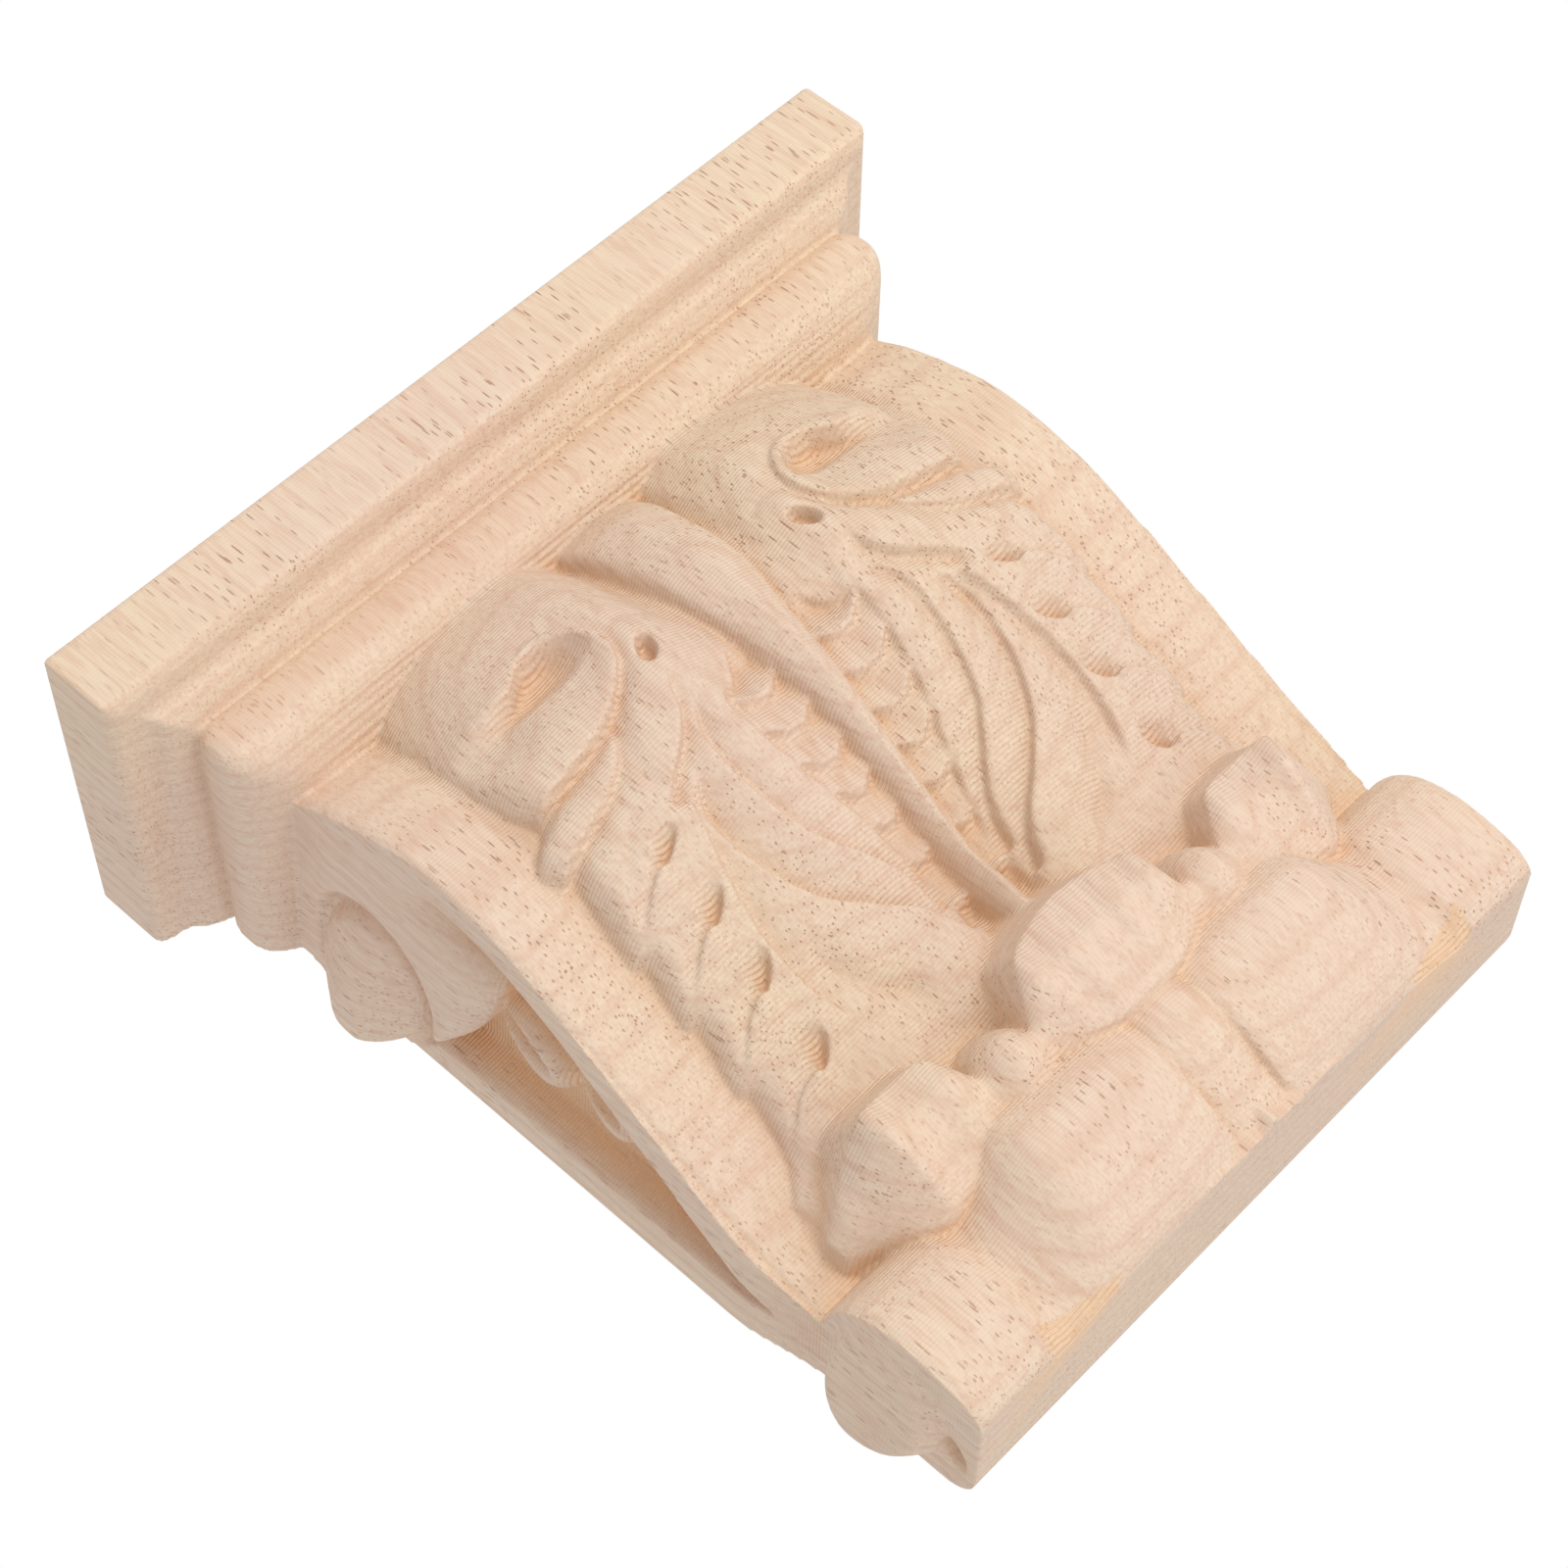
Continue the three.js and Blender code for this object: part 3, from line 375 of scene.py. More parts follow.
def tip_depth(across, down):
    crest_down, crest = along(CREST_DOWN, across), along(CREST_DEPTH, across)
    lean = across + 1.4 * np.clip((down - 104) / 12, 0, 1) * np.exp(-((across - 36) / 4) ** 2)
    lean = lean * (1 + 0.25 * np.clip((down - 101) / 12, 0, 1) * (1 - smooth(8, 13, across)))
    foot_down, foot = along(FOOT_DOWN, across), along(FOOT_DEPTH, across)
    share = np.clip((down - crest_down) / (foot_down - crest_down), 0, 1)
    face = crest + (foot - crest) * share ** 1.5 + 0.7 * np.sin(math.pi * share)
    face += along(FLUTES, lean) * np.sin(math.pi * np.clip(0.22 + 0.72 * share, 0, 1))
    gap = np.clip(crest_down - down, 0, 12)
    behind = crest - 0.25 - 1.9 * gap + 0.05 * gap ** 2
    depth = np.where(down < crest_down, behind, face)
    depth = depth - 9.0 * smooth(0.0, 0.9, down - foot_down)
    knob = ((across - KNOB_AT[0]) / KNOB_HALF[0]) ** 2 + ((down - KNOB_AT[1]) / KNOB_HALF[1]) ** 2
    cushion = KNOB_FOOT + KNOB_PROUD * (1 - np.clip(knob, 0, KNOB_REACH) / KNOB_REACH)
    return np.where(knob < KNOB_REACH, soft_max(depth, cushion, 1.6), depth)


def soft_max(a, b, soft):
    share = np.clip(0.5 + 0.5 * (a - b) / soft, 0, 1)
    return b + (a - b) * share + soft * share * (1 - share)


# The roll at the foot: two fat barrels beside a narrow collar, and a plain end beyond a groove
# on each side. It is shaped with the body, and its underside is sawn off flat.

BARREL = [(108, 20), (110, 24.4), (112.6, 27.4), (116, 29.4), (120, 29.8), (125, 28.4), (130, 25.8),
          (133, 23.6), (134.7, 22.0)]
COLLAR = [(108, 20), (110, 24), (113, 27.6), (115.4, 29.2), (119, 29.6), (123.1, 28.3),
          (128.2, 25.2), (134.7, 21.2)]
PLAIN_END = [(108, 11), (110.6, 12.6), (112.2, 17.0), (115, 20.6), (119, 22.7), (124, 23.3),
             (130, 22.3), (134.7, 20.6)]
COLLAR_HALF = 4.6
COLLAR_RINGS = (1.3, 3.1)
COLLAR_RING_DEEP = 0.22
BARREL_END = 9.0
GROOVE_FROM = 24.0
GROOVE_TO = 38.8
GROOVE_UNDER = 1.5
FACET_LONG = 11.4
FACET_TALL = 4.2
FACET_DEPTH = 19.6
FOOT_ROUND = 3.2
FOOT_BACK = 1.9


def roll_depth(across, down):
    barrel, collar, end = along(BARREL, down), along(COLLAR, down), along(PLAIN_END, down)
    round_off = np.clip(1 - (across - COLLAR_HALF) / BARREL_END, 0, 1)
    fat = barrel - 1.3 * round_off ** 1.8
    neck = collar - 1.1 * np.clip(across / COLLAR_HALF, 0, 1) ** 2.4
    for ring in COLLAR_RINGS:
        neck = neck - COLLAR_RING_DEEP * np.exp(-((across - ring) / 0.4) ** 2)
    in_groove = np.clip((across - GROOVE_FROM) / (GROOVE_TO - GROOVE_FROM), 0, 1)
    ease = smooth(0, 0.85, in_groove)
    groove = fat * (1 - ease) + (end - GROOVE_UNDER) * ease
    groove = groove + GROOVE_UNDER * smooth(0.72, 1.0, in_groove) ** 1.5
    depth = np.where(across < COLLAR_HALF, neck, np.where(across < GROOVE_TO, groove, end))
    depth = depth - 0.5 * np.exp(-((across - COLLAR_HALF) / 0.5) ** 2)

    # The last of each groove, and of the creases beside the collar, is left as a small flat facet
    under = HEIGHT - down
    slope = np.clip((GROOVE_TO - across) / FACET_LONG, 0, 1)
    facet = smooth(0.0, 0.3, FACET_TALL * (1 - slope) - under) * (across < GROOVE_TO) * (slope < 1)
    depth = depth * (1 - facet) + np.minimum(depth, FACET_DEPTH + 0.8 * under) * facet
    beside = np.clip(1 - np.abs(across - COLLAR_HALF - 0.2) / 1.1, 0, 1)
    depth = depth - 0.8 * smooth(0.0, 0.4, 2.0 * beside - under)
    round_foot = np.clip((down - HEIGHT + FOOT_ROUND) / FOOT_ROUND, 0, 1)
    return depth - FOOT_BACK * (1 - np.sqrt(1 - 0.98 * round_foot ** 2))


EDGE_REACH = [(24, 11), (37, 10.5), (41, 5.0), (46, 3.0), (58, 2.8), (64, 2.6), (94, 3.4)]
TIPS_HALF = 45
ROLL_FROM = 107


def front_depth(x, down):
    across = np.abs(x)
    margin = along(FALL, down)
    height = leaf_height(across, down)
    edge = leaf_edge(down)
    reach = along(EDGE_REACH, down)
    turn = np.clip((across - edge + reach) / (reach + 0.4), 0, 1)
    inside = (1 - turn ** 2.2) ** 0.62
    beside = np.exp(-((across - edge - 1.2) / 1.6) ** 2) * (1 - smooth(88, 96, down))
    leaf = margin + inside * height - 0.45 * beside
    depth = np.where(across < TIPS_HALF, soft_max(leaf, tip_depth(across, down), 0.8), leaf)
    roll = np.where(down > ROLL_FROM, roll_depth(across, down), 0.0)
    return np.maximum(depth, roll)


# The sides: a band follows the S of the front, and the ground behind it is sunk. A volute with
# an egg-shaped eye curls under the cap, and a husk of small leaves hangs from it. All of it is
# the same block, cut in from each side.

SIDE_HALF = 50.7
SIDE_SPREAD = 2.3
SPREAD_DEEP = 39.0
ROLL_HALF = 51.0
GROUND_SUNK = 5.4
TROUGH_SUNK = 4.0
BACK_STRIP = 5.0
BAND = [(24, 12), (40, 5.4), (60, 4.9), (80, 6.0), (100, 7.4), (112, 8)]
LIP = [(0, 44.4), (2.6, 46.8), (7.6, 51.0), (12.6, 54.6), (17.6, 57.1), (22.6, 58.7),
       (28, 59.8), (38, 60.4)]
RIM_PROUD = 1.7
RIM_ROUNDED = 0.9
EYE_GROOVE = 2.0
EYE_AT = (9.2, 38.2)
EYE_HALF = (10.3, 9.0)
EYE_TOP = 57.6
EYE_FALL = 5.0
EYE_CROWN = (3.6, 37.4)
CROWN_HALF = (15.6, 9.6)
HUSK = ((18.2, 63.6, 4.7, 7.6, 5.2), (17.2, 75.4, 4.9, 6.0, 4.3), (14.2, 85.0, 4.3, 5.4, 3.4),
        (11.4, 93.2, 3.6, 4.8, 2.4))
END_EYE_AT = (9.6, 119.6)
END_EYE_TOP = 55.6
END_EYE_TILT = 0.24
CHIP_AT = (8.0, 131.4)
CHIP_DEEP = 2.2


def button(ring, flat):
    """A low boss with a flat face, rounded over and falling to its edge, where ring is 1."""
    share = np.clip((ring - flat) / (1 - flat), 0, 1)
    return np.where(ring < 1, 1 - share ** 1.25, 0.0)


def side_out(deep, down):
    """How far a side stands from the middle, for a spot at a depth from the back."""
    face = SIDE_HALF + SIDE_SPREAD * (1 - np.clip(deep / SPREAD_DEEP, 0, 1))
    face = face + (ROLL_HALF - face) * smooth(98, 113, down)
    rear = along(FALL, down) - along(BAND, down)
    band_side = smooth(0, 1, (rear - deep) / (3.4 - 2.2 * smooth(44, 58, down)))
    strip_side = smooth(0.0, 1.0, deep - BACK_STRIP - 0.03 * (down - 60))
    under_lip = smooth(-0.15, 0.25, down - along(LIP, deep))
    ground = GROUND_SUNK * band_side * strip_side * under_lip * (1 - smooth(105, 109, down))
    trough = np.exp(-(np.clip(rear - deep - 1.8, 0, None) / 3.6) ** 2) * band_side
    cove = TROUGH_SUNK * smooth(40, 57, down) * trough * (1 - under_lip)
    out = face - ground - cove

    # The volute: its swelling rim, the groove round its eye, and the eye like a big flat button
    to_lip = along(LIP, deep) - down
    eye = np.hypot((deep - EYE_AT[0]) / EYE_HALF[0], (down - EYE_AT[1]) / EYE_HALF[1])
    rim = (to_lip > -0.1) * smooth(33, 24, deep) * smooth(26, 32, down)
    room = np.clip(to_lip, 0, None) + 9.0 * np.clip(eye - 1.06, 0, None) + 0.01
    swell = np.clip(to_lip / room, 0, 1)
    past_back = smooth(1.0, 6.0, deep)
    out = out + RIM_PROUD * rim * smooth(0.5, 4.5, room) * np.sin(math.pi * swell) ** 0.8
    out = out - RIM_ROUNDED * rim * past_back * (1 - smooth(0, 1.6, to_lip))
    out = out - EYE_GROOVE * rim * past_back * np.exp(-((eye - 1.10) / 0.13) ** 2)
    slope = np.hypot((deep - EYE_CROWN[0]) / CROWN_HALF[0], (down - EYE_CROWN[1]) / CROWN_HALF[1])
    eye_top = EYE_TOP - EYE_FALL * np.clip((slope - 0.25) / 0.75, 0, 1)
    out = np.where(eye < 1, out + (eye_top - out) * button(eye, 0.88), out)

    # The husk: leaves that overlap downwards, each with a raised edge round a narrow pocket
    for at, low, wide, tall, proud in HUSK:
        lean = (deep - at - 0.22 * (low - down)) / wide
        reach = (down - low) / tall
        ring = (np.abs(lean) ** 2.2 + np.abs(reach) ** 2.2) ** (1 / 2.2)
        rounded = (1 - np.clip(ring, 0, 1) ** 5) * (0.72 + 0.28 * smooth(-1, 0.8, reach))
        leaf = face - GROUND_SUNK + proud * rounded
        pocket = np.hypot((lean - 0.1) / 0.36, (reach + 0.1) / 0.66)
        leaf = leaf - 0.36 * proud * (1 - smooth(0.6, 1.05, pocket))
        out = np.where((ring < 1) & (down > along(LIP, deep)), np.maximum(out, leaf), out)

    # The button on the end of the roll, and a small chip below it
    across = deep - END_EYE_AT[0]
    below = down - END_EYE_AT[1]
    oval = np.hypot(across / np.where(across > 0, 12.8, 9.4), below / np.where(below > 0, 10.6, 7.0))
    end_top = END_EYE_TOP - END_EYE_TILT * (deep - 3)
    out = np.where(oval < 1, out + (end_top - out) * button(oval, 0.72), out)
    beyond = deep - CHIP_AT[0]
    chip = np.hypot(beyond / 3.4, (down - CHIP_AT[1] + 0.3 * beyond) / 1.7)
    return out - CHIP_DEEP * (1 - smooth(0.5, 1.0, chip))


# The body's skin: front, right side, back and left side of the same block go round it level by
# level. Its lower back corner is rounded, as on the real one, and its front arrises are eased
# by a touch of sandpaper.

FOOT_EDGE = 0.5
ARRIS = 0.6
BACK_CORNER = 4.6
SIDE_STEPS = 110
BACK_STEPS = 40

levels = np.arange(BODY_TOP, HEIGHT + 1e-6, STEP)
levels[-1] = HEIGHT
columns = int(round(2 * FRONT_HALF / STEP))
front_x = np.linspace(-1, 1, columns + 1)
X, D = np.meshgrid(front_x * FRONT_HALF, levels)
front = front_depth(X, D)
corner_depth = front[:, -1]
share = np.linspace(0, 1, SIDE_STEPS + 1)[1:]
deep = corner_depth[:, None] * (1 - share[None, :])
down = np.repeat(levels[:, None], SIDE_STEPS, 1)
out = side_out(deep, down)
squeeze = 1 - 0.6 * FOOT_EDGE / 50 * smooth(HEIGHT - 0.8, HEIGHT, D)
Z = HEIGHT / 2 - D
arris = ARRIS * (1 - smooth(0, 0.9, FRONT_HALF - np.abs(X)))
front_ring = np.stack([X * squeeze, -(front - arris), Z], -1)
lift_back = np.maximum(0, down - (HEIGHT - BACK_CORNER))
pull_in = BACK_CORNER - np.sqrt(np.maximum(BACK_CORNER ** 2 - lift_back ** 2, 0))
side_y = -np.maximum(deep, pull_in)
right_ring = np.stack([out, side_y, HEIGHT / 2 - down], -1)
left_ring = np.stack([-out, side_y, HEIGHT / 2 - down], -1)[:, ::-1]
back_x = np.linspace(1, -1, BACK_STEPS + 2)[None, 1:-1] * out[:, -1:]
back_y, back_z = (np.repeat(edge, BACK_STEPS, 1) for edge in (side_y[:, -1:], Z[:, :1]))
back_ring = np.stack([back_x, back_y, back_z], -1)
body = rolled_sheet("body", np.concatenate([front_ring, right_ring, back_ring, left_ring], 1))


# The whole corbel: cap and body are one block of glued-up rubberwood with nothing joined on.
# The two skins are made one, softened as by light sanding, and thinned where the wood is flat.

VOXEL = 0.31 * MM
MOST_TRIANGLES = 190000
CRISP_ANGLE = 55

deselect()
cap.select_set(True)
body.select_set(True)
bpy.context.view_layer.objects.active = body
bpy.ops.object.join()
corbel = bpy.context.object
corbel.name = "carved_corbel"
corbel.data.name = "carved_corbel"
remesh = corbel.modifiers.new("one skin", 'REMESH')
remesh.mode = 'VOXEL'
remesh.voxel_size = VOXEL
remesh.adaptivity = 0.0
bpy.ops.object.modifier_apply(modifier=remesh.name)
soften = corbel.modifiers.new("sanded", 'SMOOTH')
soften.factor = 0.5
soften.iterations = 2
bpy.ops.object.modifier_apply(modifier=soften.name)
faces = len(corbel.data.polygons) * 2
thin = corbel.modifiers.new("thinned", 'DECIMATE')
thin.ratio = min(1.0, MOST_TRIANGLES / faces)
bpy.ops.object.modifier_apply(modifier=thin.name)
bpy.ops.object.shade_smooth_by_angle(angle=math.radians(CRISP_ANGLE))


# What the cutter left on the wood, and painted shade: hollows lie under the general surface round
# them, and their colour is browner and more orange, partly because nobody sands there and partly
# as painted shade and painted warm bounce light. The ball cutter's ridges are strongest in them
# and on the leaf, and faint on the margins and the cap.

BLUR = 7
DEEP_HOLLOW = 1.6
DEEP_GROUND = 3.6
FRONT_SHARE = 0.5
FACET_SHARE = 0.7
LEAF_RIDGES = 0.55
BODY_RIDGES = 0.24
CAP_RIDGES = 0.12
HOLLOW_RIDGES = 1.2
CAP_FOOT = 46
SKIN_DEEP = 3.0
LEAF_HALF = 40.5
LEAF_LOW = 106
FACET_FRONT = 17


def blurred(field, width):
    kernel = np.exp(-(np.arange(-3 * width, 3 * width + 1) / width) ** 2 / 2)
    kernel /= kernel.sum()
    for axis in (0, 1):
        pad = [(0, 0), (0, 0)]
        pad[axis] = (3 * width, 3 * width)
        wide = np.pad(field, pad, mode='edge')
        field = np.apply_along_axis(lambda row: np.convolve(row, kernel, mode='valid'), axis, wide)
    return field


def read_field(field, column, row):
    i = np.clip(column, 0, field.shape[1] - 1.001)
    j = np.clip(row, 0, field.shape[0] - 1.001)
    i0, j0 = i.astype(int), j.astype(int)
    fi, fj = i - i0, j - j0
    top = field[j0, i0] * (1 - fi) + field[j0, i0 + 1] * fi
    low = field[j0 + 1, i0] * (1 - fi) + field[j0 + 1, i0 + 1] * fi
    return top * (1 - fj) + low * fj


sunk_front = blurred(front, BLUR) - front
points = np.empty(len(corbel.data.vertices) * 3)
corbel.data.vertices.foreach_get("co", points)
points = points.reshape(-1, 3) / MM
point_down = HEIGHT / 2 - points[:, 2]
row = (point_down - BODY_TOP) / STEP
column = (points[:, 0] / FRONT_HALF + 1) / 2 * columns
sunk = read_field(sunk_front, column, row)
near_face = -points[:, 1] > read_field(front, column, row) - SKIN_DEEP
on_front = (np.abs(points[:, 0]) < FRONT_HALF - 0.5) & near_face & (point_down > BODY_TOP + 1)
side_face = SIDE_HALF + SIDE_SPREAD * (1 + points[:, 1] / SPREAD_DEEP)
on_side = ~on_front & (points[:, 1] < -BACK_STRIP + 0.2)
on_side &= (point_down > CAP_FOOT) & (point_down < WAIST_DOWN - 1)
near_foot = smooth(HEIGHT - 1.5, HEIGHT - 6, point_down)
sunk = np.where(on_front, FRONT_SHARE * np.clip(sunk / DEEP_HOLLOW, 0, 1) * near_foot, 0.0)
sunk = np.where(on_side, np.clip((side_face - np.abs(points[:, 0])) / DEEP_GROUND, 0, 1), sunk)
along_facet = (np.abs(points[:, 0]) - GROOVE_TO + FACET_LONG) / FACET_LONG
facet_edge = HEIGHT - 0.8 - 2.6 * along_facet
on_facet = (along_facet > 0) & (along_facet < 1)
on_facet &= (point_down > facet_edge) & (points[:, 1] < -FACET_FRONT)
sunk = np.where(on_facet, FACET_SHARE, sunk)
# This share colours the hollows: partly the cutter's browner unsanded wood, partly painted shade and
# painted warm bounce light
recess_tint_and_shade = corbel.data.attributes.new("recess_tint_and_shade", 'FLOAT', 'POINT')
recess_tint_and_shade.data.foreach_set("value", sunk.astype(np.float32))
on_leaf = on_front & (np.abs(points[:, 0]) < LEAF_HALF) & (point_down < LEAF_LOW)
cut = np.where(point_down > CAP_FOOT, BODY_RIDGES, CAP_RIDGES)
cut = np.where(on_leaf, LEAF_RIDGES, cut) + HOLLOW_RIDGES * sunk
cutter = corbel.data.attributes.new("cutter", 'FLOAT', 'POINT')
cutter.data.foreach_set("value", np.clip(cut, 0, 1).astype(np.float32))

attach(corbel, "root")
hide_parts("corbel")


# The wood: bare sanded rubberwood, pale cream with a faint pink or yellow cast, short
# reddish-brown pores along the grain, ridged by the cutter in the hollows and browner there,
# partly from the unsanded cut and partly as painted shade and painted warm bounce light. It is
# not varnished, so it is matt.

ROUGH = 0.72
SHINE = 0.28
wood = bpy.data.materials.new("bare rubberwood")
wood.use_nodes = True
nodes, links = wood.node_tree.nodes, wood.node_tree.links
shader = nodes["Principled BSDF"]
shader.inputs["Roughness"].default_value = ROUGH
shader.inputs["Specular IOR Level"].default_value = SHINE
place = nodes.new("ShaderNodeTexCoord")


def stretched(scale):
    mapping = nodes.new("ShaderNodeMapping")
    mapping.inputs["Scale"].default_value = scale
    links.new(place.outputs["Object"], mapping.inputs["Vector"])
    return mapping.outputs["Vector"]


def noise(scale, detail):
    texture = nodes.new("ShaderNodeTexNoise")
    texture.inputs["Scale"].default_value = 1.0
    texture.inputs["Detail"].default_value = detail
    links.new(stretched(scale), texture.inputs["Vector"])
    return texture.outputs["Fac"]


def ramp(value, start, end, low=0.0, high=1.0):
    spread = nodes.new("ShaderNodeMapRange")
    spread.interpolation_type = 'SMOOTHSTEP'
    spread.inputs["From Min"].default_value = start
    spread.inputs["From Max"].default_value = end
    spread.inputs["To Min"].default_value = low
    spread.inputs["To Max"].default_value = high
    links.new(value, spread.inputs["Value"])
    return spread.outputs["Result"]


def maths(operation, a, b):
    node = nodes.new("ShaderNodeMath")
    node.operation = operation
    for socket, value in zip(node.inputs, (a, b)):
        if isinstance(value, (int, float)):
            socket.default_value = value
        else:
            links.new(value, socket)
    return node.outputs["Value"]


def mixed(share, a, b):
    node = nodes.new("ShaderNodeMix")
    node.data_type = 'RGBA'
    for name, value in (("Factor", share), ("A", a), ("B", b)):
        socket = [s for s in node.inputs if s.name == name and s.type in ('VALUE', 'RGBA')]
        socket = [s for s in socket if (s.type == 'RGBA') == (name != "Factor")][0]
        if hasattr(value, "links"):
            links.new(value, socket)
        else:
            socket.default_value = value
    return [s for s in node.outputs if s.type == 'RGBA'][0]


def pores(width, length, size, shift):
    cells = nodes.new("ShaderNodeTexVoronoi")
    cells.feature = 'F1'
    cells.inputs["Scale"].default_value = 1.0
    cells.inputs["Randomness"].default_value = 1.0
    mapping = nodes.new("ShaderNodeMapping")
    mapping.inputs["Scale"].default_value = (1 / width, 1 / width, 1 / length)
    mapping.inputs["Location"].default_value = (shift, shift * 0.7, shift * 1.3)
    links.new(place.outputs["Object"], mapping.inputs["Vector"])
    links.new(mapping.outputs["Vector"], cells.inputs["Vector"])
    return ramp(cells.outputs["Distance"], size * 0.45, size, 1.0, 0.0)


CREAM = (0.810, 0.640, 0.475, 1)
PINKISH = (0.800, 0.610, 0.475, 1)
YELLOWISH = (0.825, 0.665, 0.455, 1)
# The hollows' colour: browner wood left by the cutter, with painted shade and painted warm bounce light
# in it
HOLLOW_TINT_AND_SHADE = (0.930, 0.600, 0.340, 1)
PORE = (0.480, 0.230, 0.120, 1)
REDDISH = (0.660, 0.400, 0.270, 1)
MANY_PORES = (0.00055, 0.0046, 0.21, 3.1)
MORE_PORES = (0.00080, 0.0080, 0.15, 5.3)
FEW_PORES = (0.00130, 0.0150, 0.12, 7.7)
HOLLOW_TINT_AND_SHADE_SHARE = 0.75
RIDGE_PITCH = (60, 60, 640)
BUMP_STRENGTH = 0.7
BUMP_HEIGHT = 0.00024

broad = noise((22, 30, 9), 2.0)
fine_grain = noise((900, 900, 45), 4.0)
colour = mixed(ramp(broad, 0.35, 0.65), PINKISH, YELLOWISH)
colour = mixed(0.5, colour, CREAM)
colour = mixed(ramp(fine_grain, 0.3, 0.8, 0.0, 0.24), colour, REDDISH)
fibres = noise((2600, 2600, 190), 3.0)
colour = mixed(ramp(fibres, 0.42, 0.66, 0.0, 0.36), colour, REDDISH)
layers = nodes.new("ShaderNodeTexWave")
layers.wave_type = 'BANDS'
layers.bands_direction = 'Y'
layers.wave_profile = 'TRI'
layers.inputs["Scale"].default_value = 1.0
layers.inputs["Distortion"].default_value = 3.0
layers.inputs["Detail"].default_value = 2.0
layers.inputs["Detail Scale"].default_value = 1.6
links.new(stretched((10, 125, 3)), layers.inputs["Vector"])
colour = mixed(ramp(layers.outputs["Fac"], 0.55, 1.0, 0.0, 0.26), colour, REDDISH)
thick = noise((60, 60, 12), 2.0)
many, more, few = (pores(*kind) for kind in (MANY_PORES, MORE_PORES, FEW_PORES))
streaks = maths('MAXIMUM', maths('MAXIMUM', many, more), few)
streaks = maths('MULTIPLY', streaks, ramp(thick, 0.35, 0.65, 0.22, 0.90))
colour = mixed(streaks, colour, PORE)
long_lines = noise((420, 420, 5), 2.0)
colour = mixed(ramp(long_lines, 0.62, 0.74, 0.0, 0.35), colour, REDDISH)
# Painted shade: the hollows are tinted browner and more orange by how sunk they are, partly real
# unsanded wood, partly painted shade and painted warm bounce light
hollow_tint_and_shade_mask = nodes.new("ShaderNodeAttribute")
hollow_tint_and_shade_mask.attribute_name = "recess_tint_and_shade"
hollow_tint_and_shade_share = maths('MULTIPLY', ramp(hollow_tint_and_shade_mask.outputs["Fac"], 0.05, 1.0), HOLLOW_TINT_AND_SHADE_SHARE)
colour = mixed(hollow_tint_and_shade_share, colour, HOLLOW_TINT_AND_SHADE)
links.new(colour, shader.inputs["Base Color"])

ridges = nodes.new("ShaderNodeTexWave")
ridges.wave_type = 'BANDS'
ridges.bands_direction = 'Z'
ridges.inputs["Scale"].default_value = 1.0
ridges.inputs["Distortion"].default_value = 1.2
ridges.inputs["Detail"].default_value = 1.0
ridges.inputs["Detail Scale"].default_value = 0.4
links.new(stretched(RIDGE_PITCH), ridges.inputs["Vector"])
lines_left = nodes.new("ShaderNodeAttribute")
lines_left.attribute_name = "cutter"
relief = maths('MULTIPLY', ridges.outputs["Fac"], lines_left.outputs["Fac"])
relief = maths('SUBTRACT', relief, maths('MULTIPLY', streaks, 0.8))
fuzz = noise((2600, 2600, 700), 2.0)
relief = maths('ADD', relief, maths('MULTIPLY', fuzz, 0.35))
bump = nodes.new("ShaderNodeBump")
bump.inputs["Strength"].default_value = BUMP_STRENGTH
bump.inputs["Distance"].default_value = BUMP_HEIGHT
links.new(relief, bump.inputs["Height"])
links.new(bump.outputs["Normal"], shader.inputs["Normal"])
corbel.data.materials.clear()
corbel.data.materials.append(wood)


# The table: a pale sheet of paper that the corbel lies on with its back, in even soft light
# from all round. The paper is clear from behind, so it doesn't hide the corbel's back.

TABLE_SIZE = 2.4
TABLE_AT = (0.2, 0.0006, 0.2)
SKY = (0.94, 0.95, 1.0, 1)
SKY_STRENGTH = 0.72

scene = bpy.context.scene
scene.view_settings.view_transform = 'Standard'
scene.view_settings.look = 'None'
scene.view_settings.exposure = 0.0
scene.view_settings.gamma = 1.0

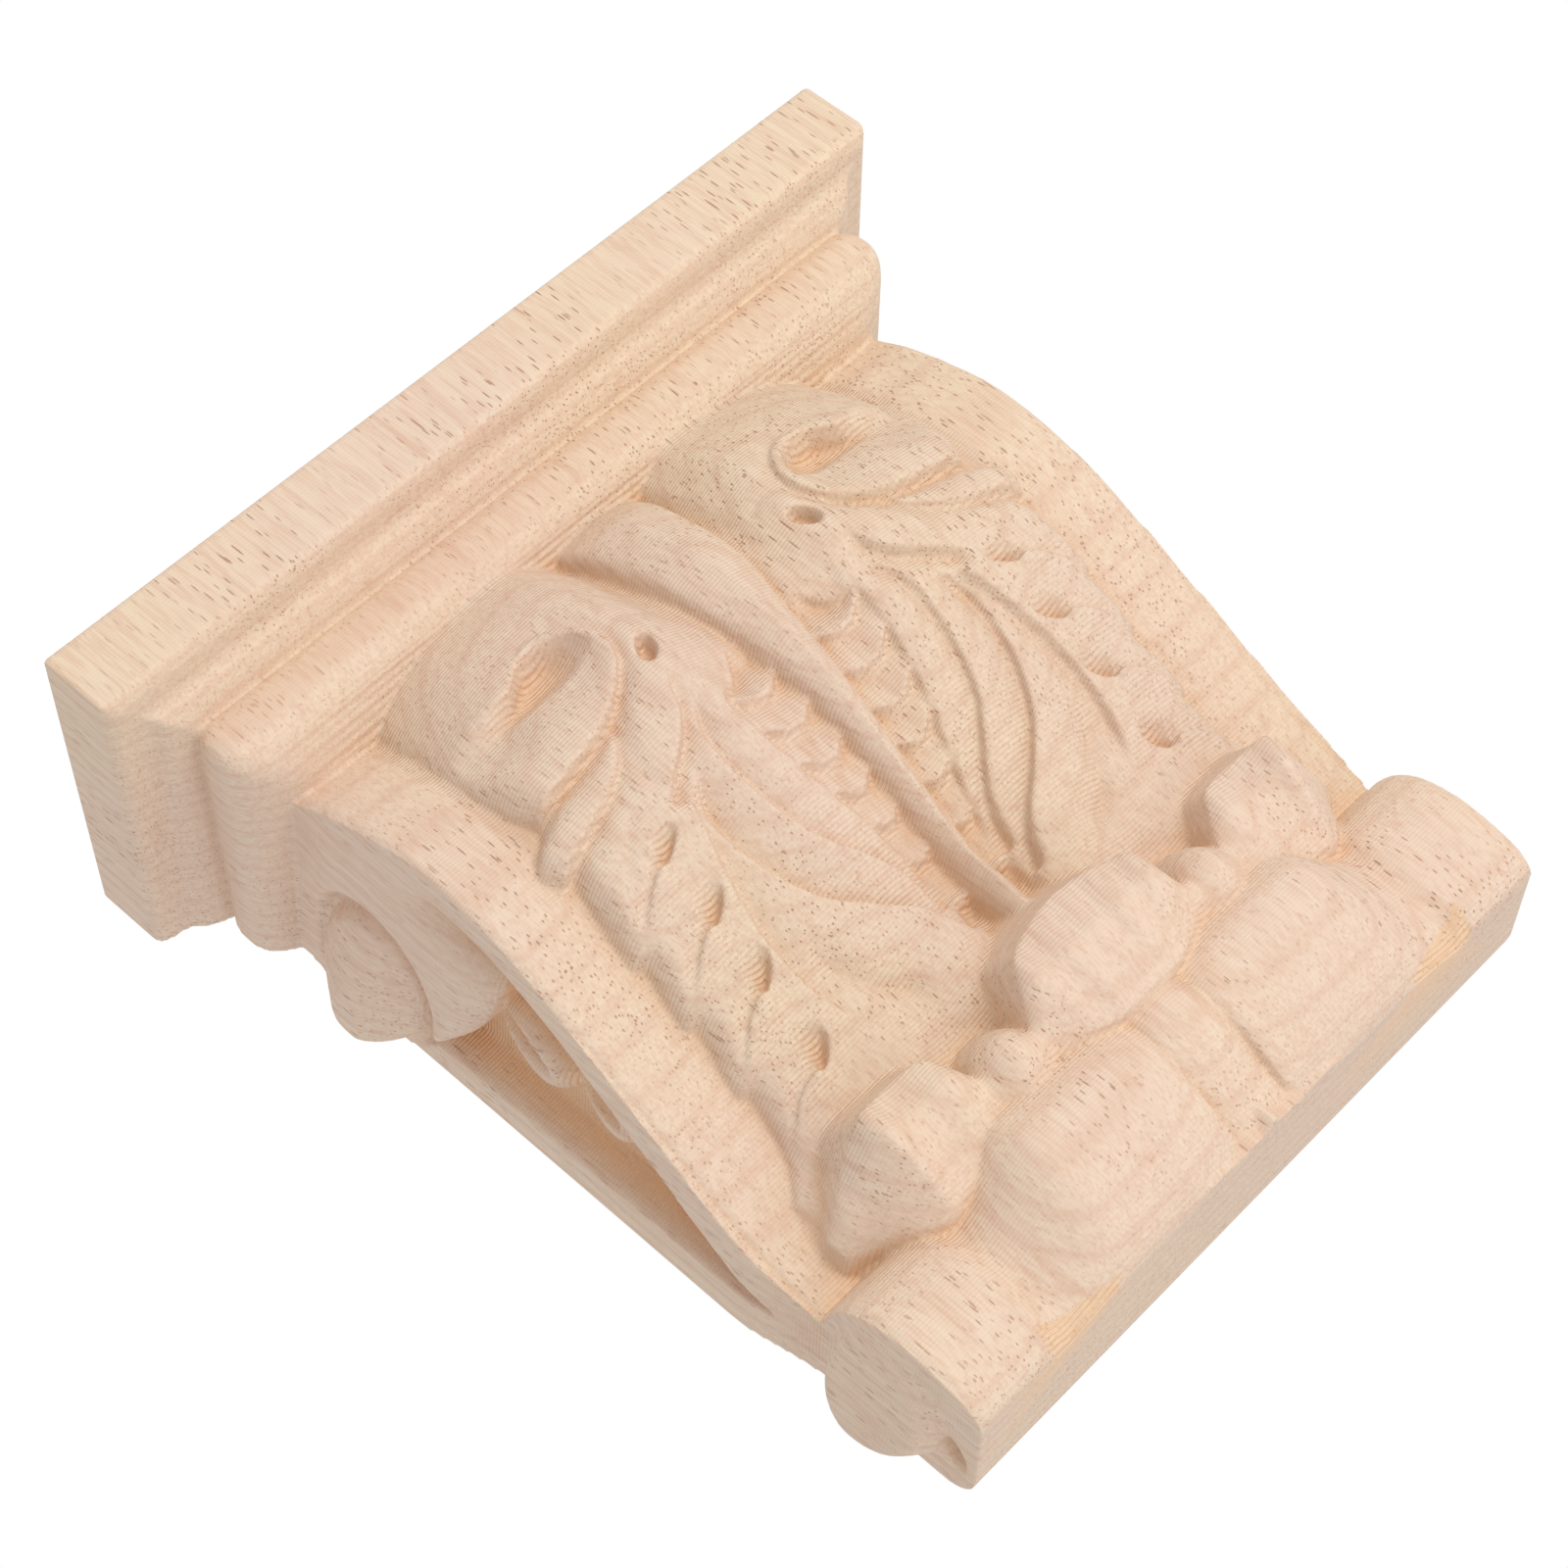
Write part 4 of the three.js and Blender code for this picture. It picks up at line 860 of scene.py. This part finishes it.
deselect()
bpy.ops.mesh.primitive_plane_add(size=TABLE_SIZE, location=TABLE_AT, rotation=(math.pi / 2, 0, 0))
table = bpy.context.object
table.name = "pale_table"
paper = bpy.data.materials.new("pale paper")
paper.use_nodes = True
paper_nodes, paper_links = paper.node_tree.nodes, paper.node_tree.links
paper_nodes.remove(paper_nodes["Principled BSDF"])
glow = paper_nodes.new("ShaderNodeEmission")
glow.inputs["Color"].default_value = (1, 1, 1, 1)
glow.inputs["Strength"].default_value = 1.0
clear = paper_nodes.new("ShaderNodeBsdfTransparent")
facing = paper_nodes.new("ShaderNodeNewGeometry")
either = paper_nodes.new("ShaderNodeMixShader")
paper_links.new(facing.outputs["Backfacing"], either.inputs["Fac"])
paper_links.new(glow.outputs["Emission"], either.inputs[1])
paper_links.new(clear.outputs["BSDF"], either.inputs[2])
paper_links.new(either.outputs["Shader"], paper_nodes["Material Output"].inputs["Surface"])
table.data.materials.append(paper)
table.visible_diffuse = False

world = bpy.data.worlds.new("even light")
scene.world = world
world.use_nodes = True
sky = world.node_tree.nodes["Background"]
sky.inputs["Color"].default_value = SKY
sky.inputs["Strength"].default_value = SKY_STRENGTH


# The lamps: a broad soft one in front and a weaker one below the foot, both turned towards the
# middle of the corbel

KEY_AT = (0.22, -0.84, -0.20)
KEY_SIZE = 0.42
KEY_POWER = 3.4
FILL_AT = (-0.12, -0.30, -0.80)
FILL_SIZE = 0.50
FILL_POWER = 0.72
LIT_CENTRE = (0.0, -0.02, 0.0)


def lamp(name, at, size, power, tint):
    bpy.ops.object.light_add(type='AREA', location=at)
    light = bpy.context.object
    light.name = name
    light.data.shape = 'DISK'
    light.data.size = size
    light.data.energy = power
    light.data.color = tint
    away = np.array(at) - np.array(LIT_CENTRE)
    away /= np.linalg.norm(away)
    turn = math.atan2(away[1], away[0])
    tilt = math.acos(away[2])
    light.rotation_euler = (0, tilt, turn)


lamp("key lamp", KEY_AT, KEY_SIZE, KEY_POWER, (1.0, 0.98, 0.96))
lamp("low fill lamp", FILL_AT, FILL_SIZE, FILL_POWER, (0.92, 0.96, 1.0))


# The camera: it looks up at the corbel from its lower left, turned so that the corbel's height
# runs across the picture from the upper left to the lower right

LENS = 82.17
SENSOR = 36.0
CAMERA_AT = (-0.19037, -0.38244, -0.16163)
CAMERA_TURN = (124.042, 46.913, -1.064)
NEAREST = 0.01

bpy.ops.object.camera_add(location=CAMERA_AT, rotation=[math.radians(a) for a in CAMERA_TURN])
camera = bpy.context.object
camera.data.lens = LENS
camera.data.sensor_width = SENSOR
camera.data.clip_start = NEAREST
scene.camera = camera
